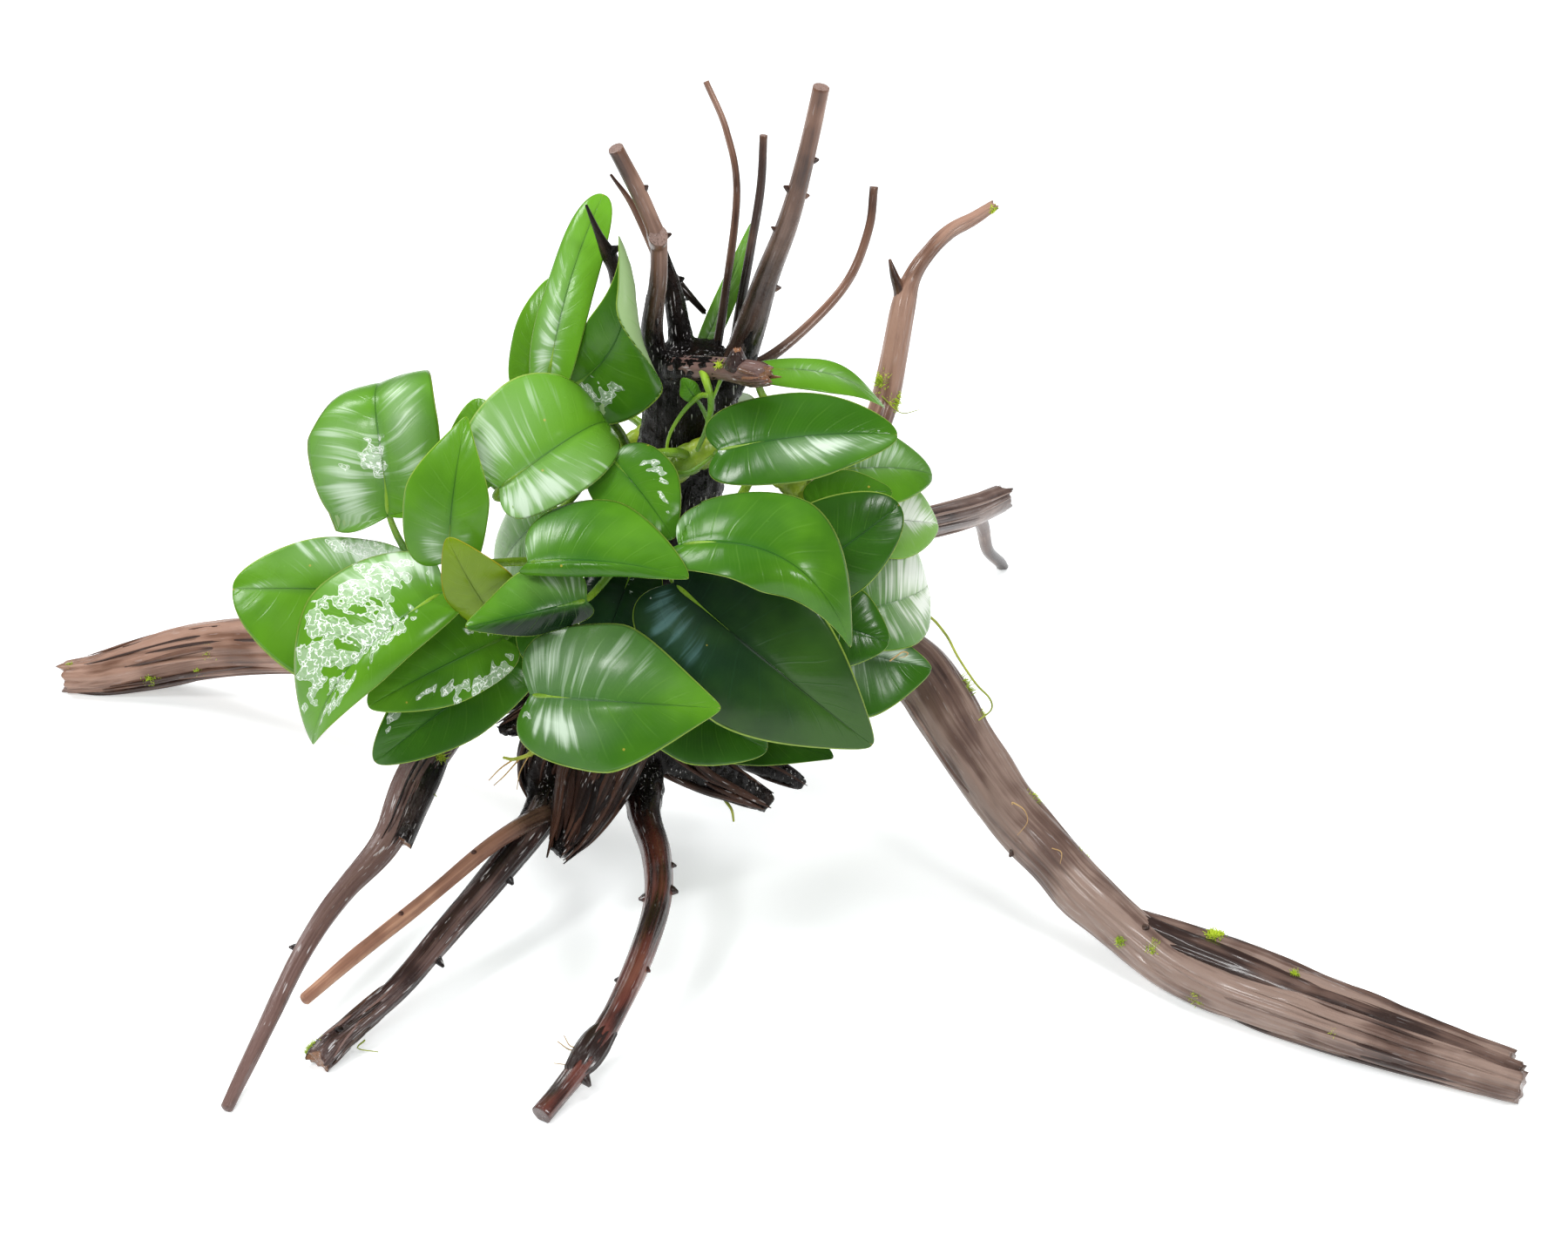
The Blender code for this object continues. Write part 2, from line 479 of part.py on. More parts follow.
def make_wood(name, limbs, grow=0.0):
    """A piece of wood from limbs that grow into each other; a grown one is a hidden collar."""
    label = name if grow == 0 else f"{name}_collar"
    pieces = []
    for number, limb in enumerate(limbs):
        rings, caps = limb_rings(limb, grow)
        pieces.append(loft(label if number == 0 else f"{label}_{number}", rings, caps))
    for other in pieces[1:]:
        add_boolean(pieces[0], other, "UNION")
        hide_guide(other)
    if grow:
        hide_guide(pieces[0])
    return pieces[0]


def make_floor():
    """A hidden block under the resting surface, which trims the feet flat."""
    bpy.ops.mesh.primitive_cube_add(size=1.0, location=(0, 0, -0.05))
    block = bpy.context.object
    block.name = "floor_trim"
    block.scale = (1.0, 1.0, 0.1)
    bpy.ops.object.transform_apply(location=True, rotation=False, scale=True)
    hide_guide(block)
    return block


def finish(name):
    """A material of its own for each named finish."""
    colour, roughness = COLOURS[name]
    material = bpy.data.materials.new(name)
    material.use_nodes = True
    shader = material.node_tree.nodes["Principled BSDF"]
    shader.inputs["Base Color"].default_value = (*colour, 1)
    shader.inputs["Roughness"].default_value = roughness
    shader.inputs["Metallic"].default_value = 0
    return material


def main():
    """Build the stump, what forks from it, the rhizomes and the leaves."""
    for old in list(bpy.data.objects):
        bpy.data.objects.remove(old, do_unlink=True)
    finishes = {name: finish(name) for name in COLOURS}
    floor = make_floor()

    stump = make_wood("stump", list(STUMP_PARTS.values()))
    stump.data.materials.append(finishes["wood_dark"])
    collars = {"stump": make_wood("stump", list(STUMP_PARTS.values()), GAP)}
    collars["front_leg"] = make_wood("front_leg", [LIMBS["front_leg"]], GAP)

    for name, limb in LIMBS.items():
        piece = make_wood(name, [limb, *SPURS.get(name, ())])
        add_boolean(piece, collars[FORKS_FROM.get(name, "stump")], "DIFFERENCE")
        if min(point[2] - point[3] for point in limb.route) < FLOOR or name == "back_leg":
            add_boolean(piece, floor, "DIFFERENCE")
        piece.data.materials.append(finishes[limb.colour])

    for name, limb in RHIZOMES.items():
        piece = make_wood(name, [limb])
        add_boolean(piece, collars["stump"], "DIFFERENCE")
        piece.data.materials.append(finishes[limb.colour])

    for name, leaf in LEAVES.items():
        rings, caps = leaf_rings(leaf, RHIZOMES)
        piece = loft(name, rings, caps, thin=True)
        piece.data.materials.append(finishes[leaf.colour])


main()
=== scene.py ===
"""Anubias on driftwood: the bark, the leaves and what clings to them.

Sizes are in millimetres, with X to the right, Y away from the viewer and Z up. They become metres
where a mesh is made.
"""
import logging
import math
from dataclasses import dataclass, field
from enum import Enum

import bpy
import numpy as np
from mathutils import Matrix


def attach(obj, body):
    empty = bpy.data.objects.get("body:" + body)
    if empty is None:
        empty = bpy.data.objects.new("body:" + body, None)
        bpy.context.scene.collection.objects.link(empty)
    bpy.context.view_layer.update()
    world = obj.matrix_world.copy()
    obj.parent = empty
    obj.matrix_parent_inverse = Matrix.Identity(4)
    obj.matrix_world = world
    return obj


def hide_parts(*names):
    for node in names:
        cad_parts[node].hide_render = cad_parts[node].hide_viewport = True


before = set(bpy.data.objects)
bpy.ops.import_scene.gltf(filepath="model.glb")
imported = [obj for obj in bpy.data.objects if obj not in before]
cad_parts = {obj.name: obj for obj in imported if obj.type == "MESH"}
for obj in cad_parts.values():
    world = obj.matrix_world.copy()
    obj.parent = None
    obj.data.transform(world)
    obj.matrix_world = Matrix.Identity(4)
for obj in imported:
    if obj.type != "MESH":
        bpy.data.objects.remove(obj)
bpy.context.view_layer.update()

MM = 0.001
BODY = "root"
log = logging.getLogger("anubias")

Colour = tuple[float, float, float]
Point = tuple[float, float, float]
Array = np.ndarray


class Slot(Enum):
    """The record's names for the finishes."""
    WOOD_DARK = "wood_dark"
    WOOD_BROWN = "wood_brown"
    WOOD_RED = "wood_red"
    RHIZOME = "rhizome"
    LEAF_GREEN = "leaf_green"
    # The darkest leaf finish is green darkened with painted shade, and the palest one is a lighter green
    # under a whiter painted sheen.
    LEAF_SHADED = "leaf_deep"
    LEAF_YOUNG = "leaf_young"
    LEAF_SHEENED = "leaf_pale"


def unit(vector: Array) -> Array:
    """The vector, or each row of vectors, at length one."""
    vector = np.asarray(vector, float)
    return vector / np.maximum(np.linalg.norm(vector, axis=-1, keepdims=True), 1e-12)


def smoothstep(value: Array, low: float, high: float) -> Array:
    """0 below low, 1 above high and the curve 3x^2 - 2x^3 between them."""
    x = np.clip((np.asarray(value, float) - low) / (high - low), 0, 1)
    return x * x * (3 - 2 * x)


def seed_of(name: str) -> int:
    """A number of its own for each name, the same in each run."""
    return sum((i + 1) * ord(letter) for i, letter in enumerate(name))


def curve_at(points: Array, place: Array) -> Array:
    """Values of the Catmull-Rom curve through rows of points.

    Between rows b and c, with a before and d after, the value at share f is half of
    2b + (c - a)f + (2a - 5b + 4c - d)f^2 + (3b - a - 3c + d)f^3.

    Args:
        points: the rows that the curve passes through.
        place: row numbers, with fractions.

    Returns:
        One row for each place.
    """
    points = np.asarray(points, float)
    ends = np.vstack([2 * points[0] - points[1], points, 2 * points[-1] - points[-2]])
    row = np.clip(place.astype(int), 0, len(points) - 2)
    f = (place - row)[:, None]
    a, b, c, d = (ends[row + k] for k in range(4))
    return 0.5 * (2 * b + (c - a) * f + (2 * a - 5 * b + 4 * c - d) * f ** 2
                  + (3 * b - a - 3 * c + d) * f ** 3)


def even_curve(points: Array, step: float) -> tuple[Array, Array]:
    """The same curve at rows an equal length apart.

    Args:
        points: rows of x, y, z and any further values.
        step: the length between two rows.

    Returns:
        The rows, and the length along the curve at each.
    """
    dense = np.linspace(0, len(points) - 1, 40 * len(points))
    line = curve_at(points, dense)
    length = np.concatenate([[0], np.cumsum(np.linalg.norm(np.diff(line[:, :3], axis=0), axis=1))])
    count = max(4, int(length[-1] / step) + 1)
    along = np.linspace(0, length[-1], count)
    return curve_at(points, np.interp(along, length, dense)), along


def side_directions(centres: Array) -> tuple[Array, Array, Array]:
    """Directions ahead, across and beside a line, which don't twist round it.

    The reference is the direction that is most nearly square to the whole line, which is the last
    right singular vector of its tangents.

    Args:
        centres: points along the line.

    Returns:
        The three directions at each point, all of length one.
    """
    ahead = unit(np.gradient(centres, axis=0))
    reference = np.linalg.svd(ahead, full_matrices=True)[2][-1]
    across = unit(reference - ahead * (ahead @ reference)[:, None])
    return ahead, across, np.cross(ahead, across)


def waves(seed: int, angle: Array, along: Array, turns: tuple[int, int], pace: float,
          count: int = 7) -> Array:
    """A smooth pattern round and along a limb, about -1 to 1.

    It is a sum of cosines of k times the angle plus w times the length, where k is a whole number
    in turns, w is drawn with the spread pace, and each has its own phase.

    Args:
        seed: the number that the pattern is drawn from.
        angle: the angle round the limb at each point.
        along: the length along the limb at each point.
        turns: the fewest and the most waves round the limb.
        pace: the spread of the waves along the limb, in radians for a millimetre.
        count: how many cosines are added up.

    Returns:
        The pattern at each point.
    """
    rng = np.random.default_rng(seed)
    k = rng.integers(turns[0], turns[1] + 1, count)
    w = rng.normal(0, pace, count)
    phase = rng.uniform(0, 2 * math.pi, count)
    total = sum(np.cos(k[i] * angle + w[i] * along + phase[i]) for i in range(count))
    return total / math.sqrt(count)


def solid_waves(seed: int, points: Array, wavelength: Point, count: int = 9) -> Array:
    """A smooth pattern through space: a sum of cosines along directions drawn at random.

    Args:
        seed: the number that the pattern is drawn from.
        points: rows of x, y and z.
        wavelength: the typical length of a wave along each axis.
        count: how many cosines are added up.

    Returns:
        One value for each row.
    """
    rng = np.random.default_rng(seed)
    directions = rng.normal(0, 1, (count, 3)) * 2 * math.pi / np.array(wavelength)
    phase = rng.uniform(0, 2 * math.pi, count)
    return np.cos(points @ directions.T + phase).sum(axis=1) / math.sqrt(count)


@dataclass
class Surface:
    """Points and faces of a surface, with values at its points, before it becomes a mesh."""
    points: Array
    quads: Array
    triangles: Array
    values: dict[str, Array]

    @staticmethod
    def rings(grid: Array, caps: tuple[Array, Array], values: dict[str, Array]) -> "Surface":
        """A closed surface of rings, with a fan of triangles to a pole at each end.

        Args:
            grid: rows x columns x 3 points, each row a closed ring.
            caps: the two poles.
            values: for each name, rows x columns x 3 values; a pole takes its ring's mean.

        Returns:
            The surface, with its faces outwards where the rings turn left about the way ahead.
        """
        rows, columns = grid.shape[:2]
        number = np.arange(rows * columns).reshape(rows, columns)
        beside = np.roll(number, -1, axis=1)
        quads = np.stack([number[:-1], beside[:-1], beside[1:], number[1:]], axis=-1)
        first, last = rows * columns, rows * columns + 1
        start = np.stack([np.full(columns, first), beside[0], number[0]], axis=-1)
        end = np.stack([np.full(columns, last), number[-1], beside[-1]], axis=-1)
        flat = {name: np.vstack([value.reshape(-1, 3), value[0].mean(0), value[-1].mean(0)])
                for name, value in values.items()}
        return Surface(np.vstack([grid.reshape(-1, 3), caps[0], caps[1]]), quads.reshape(-1, 4),
                       np.vstack([start, end]), flat)

    @staticmethod
    def join(parts: list["Surface"]) -> "Surface":
        """One surface of several, each still closed on its own.

        Args:
            parts: the surfaces, all with the same names of values.

        Returns:
            The surface.
        """
        offsets = np.cumsum([0] + [len(part.points) for part in parts])
        names = parts[0].values
        return Surface(np.vstack([part.points for part in parts]),
                       np.vstack([part.quads + k for part, k in zip(parts, offsets)]),
                       np.vstack([part.triangles + k for part, k in zip(parts, offsets)]),
                       {name: np.vstack([part.values[name] for part in parts]) for name in names})

    def mesh(self, name: str) -> bpy.types.Mesh:
        """A smooth mesh in metres, with each value as a vector attribute.

        Args:
            name: the mesh's name, which its piece takes too.

        Returns:
            The mesh.
        """
        mesh = bpy.data.meshes.new(name)
        corners = np.concatenate([self.quads.ravel(), self.triangles.ravel()])
        sizes = np.concatenate([np.full(len(self.quads), 4), np.full(len(self.triangles), 3)])
        mesh.vertices.add(len(self.points))
        mesh.vertices.foreach_set("co", (self.points * MM).astype(np.float32).ravel())
        mesh.loops.add(len(corners))
        mesh.loops.foreach_set("vertex_index", corners.astype(np.int32))
        mesh.polygons.add(len(sizes))
        mesh.polygons.foreach_set("loop_start", (np.cumsum(sizes) - sizes).astype(np.int32))
        mesh.update(calc_edges=True)
        for label, value in self.values.items():
            layer = mesh.attributes.new(label, "FLOAT_VECTOR", "POINT")
            layer.data.foreach_set("vector", value.astype(np.float32).ravel())
        mesh.shade_smooth()
        return mesh


def place_piece(mesh: bpy.types.Mesh, material: bpy.types.Material,
                nodes: tuple[str, ...] = ()) -> bpy.types.Object:
    """Put a mesh in the scene as a piece of the object.

    Args:
        mesh: the mesh, with its place in its points.
        material: its finish.
        nodes: the solids that the piece stands for.

    Returns:
        The piece.
    """
    piece = bpy.data.objects.new(mesh.name, mesh)
    bpy.context.scene.collection.objects.link(piece)
    mesh.materials.append(material)
    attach(piece, BODY)
    if nodes:
        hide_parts(*nodes)
    log.info("%s: %d faces", piece.name, len(mesh.polygons))
    return piece


class Graph:
    """The nodes of one material, with short ways to add and join them."""

    def __init__(self, name: str) -> None:
        """Start from a material with its plain shader.

        Args:
            name: the material's name.
        """
        self.material = bpy.data.materials.new(name)
        self.material.use_nodes = True
        self.tree = self.material.node_tree
        self.shader = self.tree.nodes["Principled BSDF"]

    def add(self, kind: str, sockets: dict, **settings: object) -> bpy.types.Node:
        """A new node with its settings, each socket given a value or another node's output.

        Args:
            kind: the node's type, without its prefix.
            sockets: for some inputs, a value or an output.
            settings: the node's own options.

        Returns:
            The node.
        """
        node = self.tree.nodes.new("ShaderNode" + kind)
        for name, value in settings.items():
            setattr(node, name, value)
        for name, value in sockets.items():
            self.put(node.inputs[name], value)
        return node

    def put(self, socket: bpy.types.NodeSocket, value: object) -> None:
        """Join an output to a socket, or set its value.

        Args:
            socket: the input.
            value: an output, a number or a colour.
        """
        if isinstance(value, bpy.types.NodeSocket):
            self.tree.links.new(value, socket)
        else:
            socket.default_value = value

    def parts(self, vector: bpy.types.NodeSocket) -> list[bpy.types.NodeSocket]:
        """The three numbers of a vector."""
        return list(self.add("SeparateXYZ", {0: vector}).outputs)

    def value(self, name: str) -> bpy.types.NodeSocket:
        """The vector attribute of the mesh with that name."""
        return self.add("Attribute", {}, attribute_name=name).outputs["Vector"]

    def maths(self, operation: str, *terms: object, clamp: bool = False) -> bpy.types.NodeSocket:
        """One step of arithmetic on two or three terms."""
        node = self.add("Math", dict(enumerate(terms)), operation=operation, use_clamp=clamp)
        return node.outputs[0]

    def fade(self, value: object, low: object, high: object, bottom: float = 0.0,
             top: float = 1.0) -> bpy.types.NodeSocket:
        """A smooth step from bottom to top while the value goes from low to high.

        Args:
            value: what decides.
            low: where the step starts.
            high: where it ends, which may be below low.
            bottom: the result at low.
            top: the result at high.

        Returns:
            The result.
        """
        node = self.add("MapRange", {"Value": value, "From Min": low, "From Max": high,
                                     "To Min": bottom, "To Max": top},
                        interpolation_type="SMOOTHSTEP")
        return node.outputs["Result"]

    def noise(self, vector: object, scale: float, detail: float = 2.0,
              roughness: float = 0.5) -> bpy.types.NodeSocket:
        """Noise from 0 to 1 with features of one over scale metres."""
        return self.add("TexNoise", {"Vector": vector, "Scale": scale, "Detail": detail,
                                     "Roughness": roughness}).outputs[0]

    def mix(self, share: object, first: object, second: object) -> bpy.types.NodeSocket:
        """A colour that is the second one by its share, and the first one otherwise."""
        colours = [(*c, 1) if isinstance(c, tuple) else c for c in (first, second)]
        node = self.add("Mix", {0: share, 6: colours[0], 7: colours[1]}, data_type="RGBA")
        return node.outputs[2]

    def stretch(self, vector: object, scale: Point) -> bpy.types.NodeSocket:
        """The vector with each of its numbers scaled."""
        return self.add("Mapping", {"Vector": vector, "Scale": scale}).outputs[0]

    def bump(self, height: object, distance: float) -> None:
        """Raise the surface by the height times the distance, in metres."""
        node = self.add("Bump", {"Height": height, "Distance": distance, "Strength": 1.0})
        self.put(self.shader.inputs["Normal"], node.outputs[0])


@dataclass(frozen=True)
class LeafFinish:
    """A waxy leaf: veins that curve out of a midrib, a thin pale margin and wet patches.

    Its places come from the mesh: across, -1 to 1 from edge to edge; t, 0 to 1 from base to tip
    along a vein's line; and under, 1 on the lower side. Its mood is wet, tone and sheen. Light and
    shade are painted into its colour: by tone it mixes a lit green, a green in painted shade and,
    darkest of all, a deep painted shade; a pale colour laid over it is the painted sheen, also on
    the wet patches; and small white marks in the water are painted glints.
    """
    name: str
    lit: Colour
    shade: Colour
    rib: Colour
    vein: Colour
    margin: Colour = (0.40, 0.58, 0.09)
    under: Colour = (0.31, 0.43, 0.21)
    deep: Colour = (0.004, 0.016, 0.005)
    fleck: Colour = (0.38, 0.30, 0.04)
    sheen_paint: Colour = (0.62, 0.74, 0.60)
    glint: Colour = (0.97, 0.98, 0.97)
    veins: float = 11.0
    roughness: float = 0.24
    specular: float = 0.26
    relief: float = 0.00022

    def lines(self, g: Graph, across: object, t: object, spot: object) -> tuple:
        """The veins: lines of constant t where t^1.3 times their number is a whole number.

        Args:
            g: the material's nodes.
            across: the place from edge to edge.
            t: the place from base to tip, along a vein's line.
            spot: the place on the object.

        Returns:
            The main veins, the fine ones, the distance from the midrib and the count of veins.
        """
        off = g.maths("MULTIPLY", g.maths("GREATER_THAN", across, 0.0), 0.45)
        wander = g.maths("MULTIPLY", g.noise(spot, 50, 1), 0.7)
        count = g.maths("MULTIPLY", g.maths("POWER", t, 1.3), self.veins)
        phase = g.maths("ADD", g.maths("ADD", count, off), wander)
        near = g.maths("PINGPONG", phase, 0.5)
        fine = g.maths("PINGPONG", g.maths("MULTIPLY", phase, 5.0), 0.5)
        away = g.maths("ABSOLUTE", across)
        inside = g.maths("MULTIPLY", g.fade(away, 0.02, 0.12), g.fade(away, 0.93, 0.6))
        return (g.maths("MULTIPLY", g.fade(near, 0.06, 0.0), inside),
                g.maths("MULTIPLY", g.fade(fine, 0.2, 0.0), inside), away, phase)

    def skin(self, g: Graph, t: object, under: object, tone: object, lines: tuple,
             spot: object) -> tuple:
        """The dry leaf: green in clouds, paler veins, a dark midrib, flecks, underside and margin.

        Args:
            g: the material's nodes.
            t: the place from base to tip.
            under: 1 on the lower side.
            tone: how light the leaf is, about -1 to 1, which paints light and shade on it.
            lines: what the method of that name returns.
            spot: the place on the object.

        Returns:
            The colour, and how far a place is on the midrib.
        """
        vein, fine, away, _ = lines
        cloud = g.noise(spot, 40, 3)
        # The brightness is the leaf's own clouding plus its tone, which paints light and shade on it: it
        # runs from the lit green through the green in painted shade to the deep painted shade.
        brightness = g.maths("MULTIPLY_ADD", tone, 0.8, g.fade(cloud, 0.25, 0.75, 0.35, 0.85))
        colour = g.mix(g.fade(brightness, 0.0, 1.0), self.shade, self.lit)
        colour = g.mix(g.fade(brightness, 0.05, -1.0), colour, self.deep)
        width = g.maths("MULTIPLY_ADD", t, -0.03, 0.042)
        ridge = g.fade(away, width, 0.0)
        beside = g.fade(away, 0.16, 0.02)
        colour = g.mix(g.maths("MULTIPLY", beside, 0.22), colour, self.rib)
        colour = g.mix(g.maths("MULTIPLY", ridge, 0.5), colour, self.rib)
        colour = g.mix(g.maths("MULTIPLY", vein, 0.09), colour, self.vein)
        colour = g.mix(g.maths("MULTIPLY", fine, 0.03), colour, self.vein)
        speckle = g.add("TexVoronoi", {"Vector": spot, "Scale": 170.0})
        chosen = g.maths("GREATER_THAN", g.parts(speckle.outputs["Color"])[0], 0.9)
        dots = g.maths("MULTIPLY", g.fade(speckle.outputs["Distance"], 0.08, 0.05), chosen)
        colour = g.mix(g.maths("MULTIPLY", dots, 0.75), colour, self.fleck)
        lower = g.mix(g.maths("MULTIPLY", vein, 0.5), self.under, self.vein)
        colour = g.mix(g.maths("MULTIPLY", under, 0.75), colour, lower)
        edge = g.maths("MULTIPLY", g.fade(away, 0.972, 0.992), g.fade(t, 0.02, 0.1))
        colour = g.mix(g.maths("MULTIPLY", edge, 0.75), colour, self.margin)
        return g.mix(g.fade(t, 0.985, 1.0, 0.0, 0.7), colour, self.fleck), ridge

    def glossed(self, g: Graph, colour: object, along: object, sheen: object) -> object:
        """The colour with a painted highlight: soft wisps of pale painted sheen, which follow the veins
        where there is sheen.

        Args:
            g: the material's nodes.
            colour: the dry leaf's.
            along: the place along the veins.
            sheen: the strength of the painted sheen.

        Returns:
            The colour.
        """
        streaks = g.noise(g.stretch(along, (3.4, 0.45, 1.0)), 1.0, 2, 0.6)
        broad = g.maths("MULTIPLY", g.noise(along, 1.0, 1), 0.45)
        streaks = g.maths("MULTIPLY_ADD", streaks, 0.55, broad)
        over = g.maths("SUBTRACT", streaks, g.maths("MULTIPLY_ADD", sheen, -0.16, 0.60))
        wisps = g.maths("MULTIPLY", g.fade(over, -0.03, 0.17), g.fade(sheen, 0.05, 0.3))
        gloss = g.maths("MULTIPLY_ADD", wisps, 0.6, g.maths("MULTIPLY", sheen, 0.2), clamp=True)
        # Paint the pale sheen, a highlight, into the base colour.
        return g.mix(gloss, colour, self.sheen_paint)

    def wetted(self, g: Graph, colour: object, along: object, wet: object, spot: object) -> tuple:
        """The colour under water, with its light painted in: a pale painted sheen over the patch, and a
        bright rim and a labyrinth of painted glints in it.

        Args:
            g: the material's nodes.
            colour: the leaf's without water.
            along: the place along the veins.
            wet: the strength of the patch.
            spot: the place on the object.

        Returns:
            The colour, where the water is, and how far a place is from a line of the labyrinth.
        """
        ripple = g.noise(g.stretch(along, (1.6, 3.0, 1.0)), 1.0, 1)
        patch = g.maths("MULTIPLY_ADD", g.noise(spot, 210, 2), 0.4, g.maths("MULTIPLY", ripple, 0.6))
        limit = g.maths("MULTIPLY_ADD", wet, -0.26, 0.69)
        soaked = g.maths("MULTIPLY", g.fade(g.maths("SUBTRACT", patch, limit), 0.0, 0.035),
                         g.fade(wet, 0.02, 0.2))
        ripples = g.noise(g.stretch(along, (4.0, 9.0, 1.0)), 1.0, 2)
        mixed = g.maths("MULTIPLY_ADD", g.noise(spot, 400, 2), 0.55, g.maths("MULTIPLY", ripples, 0.45))
        cells = g.maths("ABSOLUTE", g.maths("SUBTRACT", mixed, 0.5))
        lace = g.maths("MULTIPLY", g.fade(cells, 0.028, 0.008, 0.0, 0.85), soaked)
        rim = g.fade(g.maths("ABSOLUTE", g.maths("SUBTRACT", patch, limit)), 0.012, 0.004, 0.0, 0.6)
        glints = g.maths("MAXIMUM", lace, g.maths("MULTIPLY", rim, g.fade(wet, 0.3, 0.5)))
        # A pale painted sheen over the wet patch, then white painted glints on its rim and in its
        # labyrinth.
        colour = g.mix(g.maths("MULTIPLY", soaked, 0.34), colour, self.sheen_paint)
        return g.mix(g.maths("MULTIPLY", glints, 0.9), colour, self.glint), soaked, cells

    def build(self) -> bpy.types.Material:
        """The finish's material.

        Returns:
            The material.
        """
        g = Graph(self.name)
        across, t, under = g.parts(g.value("place"))
        # The mood holds the water, the tone that paints light and shade, and the strength of the painted
        # sheen.
        wet, tone, sheen = g.parts(g.value("mood"))
        spot = g.add("TexCoord", {}).outputs["Object"]
        lines = self.lines(g, across, t, spot)
        vein, fine, away, phase = lines
        colour, ridge = self.skin(g, t, under, tone, lines, spot)
        along = g.add("CombineXYZ", {0: g.maths("MULTIPLY", phase, 1.1),
                                     1: g.maths("MULTIPLY", away, 0.9),
                                     2: g.maths("SIGN", across)}).outputs[0]
        colour = self.glossed(g, colour, along, sheen)
        colour, soaked, cells = self.wetted(g, colour, along, wet, spot)
        g.put(g.shader.inputs["Base Color"], colour)
        g.put(g.shader.inputs["Specular IOR Level"], self.specular)

        rough = g.maths("MULTIPLY_ADD", g.noise(spot, 90, 3), 0.2, self.roughness - 0.1)
        rough = g.maths("MULTIPLY_ADD", under, 0.15, rough)
        rough = g.maths("MULTIPLY_ADD", sheen, 0.1, rough)
        g.put(g.shader.inputs["Roughness"], g.maths("MULTIPLY_ADD", soaked, -0.12, rough, clamp=True))
        height = g.maths("MULTIPLY_ADD", fine, -0.02, g.maths("MULTIPLY", vein, -0.12))
        height = g.maths("MULTIPLY_ADD", g.noise(along, 2.0, 1), 0.3, height)
        height = g.maths("MULTIPLY_ADD", g.noise(spot, 420, 2), 0.16, height)
        height = g.maths("MULTIPLY_ADD", ridge, -0.9, height)
        height = g.maths("MULTIPLY_ADD", g.maths("MULTIPLY", cells, soaked), -6.0, height)
        g.bump(height, self.relief)
        return g.material


@dataclass(frozen=True)
class WoodFinish:
    """Bark streaked along its grain, near-black where it is soaked and paler where it is broken.

    The mesh's grain is the length along a limb and the place across it, in metres. Its bark is raw,
    1 where the wood is cut or torn, soaked, and a tone of its own. relief is the height of its
    grain in metres. Small pale streaks along the grain are painted highlights where wet spots catch
    the light: one number says how much of the bark they cover, and one colour is theirs.
    """
    name: str
    dark: Colour
    middle: Colour
    light: Colour
    raw: Colour
    soaked: Colour = (0.0028, 0.0019, 0.0017)
    roughness: float = 0.45
    relief: float = 0.0005
    specular: float = 0.5
    coat: float = 0.0
    coat_roughness: float = 0.16
    glint_share: float = 0.0
    glint_colour: Colour = (0.62, 0.60, 0.60)

    def build(self) -> bpy.types.Material:
        """The finish's material.

        Returns:
            The material.
        """
        g = Graph(self.name)
        grain = g.value("grain")
        raw, soak, tone = g.parts(g.value("bark"))
        spot = g.add("TexCoord", {}).outputs["Object"]
        broad = g.noise(g.stretch(grain, (0.03, 1.0, 1.0)), 230, 3, 0.55)
        thin = g.noise(g.stretch(grain, (0.03, 1.0, 1.0)), 1100, 2, 0.6)
        cloud = g.noise(spot, 34, 3)
        streak = g.maths("MULTIPLY_ADD", thin, 0.28, g.maths("MULTIPLY", broad, 0.72))
        shade = g.maths("MULTIPLY_ADD", cloud, 0.5, g.maths("MULTIPLY", streak, 0.5))
        shade = g.maths("MULTIPLY_ADD", tone, 0.2, shade)
        colour = g.mix(g.fade(shade, 0.42, 0.52), self.dark, self.middle)
        colour = g.mix(g.fade(shade, 0.51, 0.62), colour, self.light)
        wetness = g.maths("MULTIPLY", soak, g.fade(shade, 0.66, 0.4, 0.8, 1.0))
        colour = g.mix(wetness, colour, self.soaked)
        pores = g.fade(g.noise(grain, 2600, 1), 0.35, 0.5, 0.5, 1.0)
        fresh = g.mix(pores, self.dark, self.raw)
        colour = g.mix(g.maths("MULTIPLY", raw, 0.9), colour, fresh)
        # Pale streaks along the grain are painted highlights, where wet spots catch the light.
        glint_spots = g.fade(g.noise(g.stretch(grain, (0.1, 1.0, 1.0)), 1500, 2), 0.63, 0.69)
        glint_spots = g.maths("MULTIPLY", glint_spots, g.fade(g.noise(spot, 110, 1), 0.42, 0.56))
        colour = g.mix(g.maths("MULTIPLY", glint_spots, self.glint_share), colour, self.glint_colour)
        g.put(g.shader.inputs["Base Color"], colour)
        g.put(g.shader.inputs["Specular IOR Level"], self.specular)
        g.put(g.shader.inputs["Coat Weight"], self.coat)
        g.put(g.shader.inputs["Coat Roughness"], self.coat_roughness)
        rough = g.maths("MULTIPLY_ADD", thin, 0.3, self.roughness - 0.15)
        shine = g.fade(g.noise(spot, 300, 2), 0.42, 0.6, 0.1, 0.36)
        node = g.add("Mix", {0: soak, 2: rough, 3: shine})
        g.put(g.shader.inputs["Roughness"], node.outputs[0])
        fibres = g.noise(g.stretch(grain, (0.04, 1.0, 1.0)), 2400, 2, 0.7)
        height = g.maths("MULTIPLY_ADD", fibres, 0.4, g.maths("MULTIPLY", streak, 0.7))
        height = g.maths("MULTIPLY_ADD", g.noise(spot, 800, 2), 0.3, height)
        g.bump(height, self.relief)
        return g.material


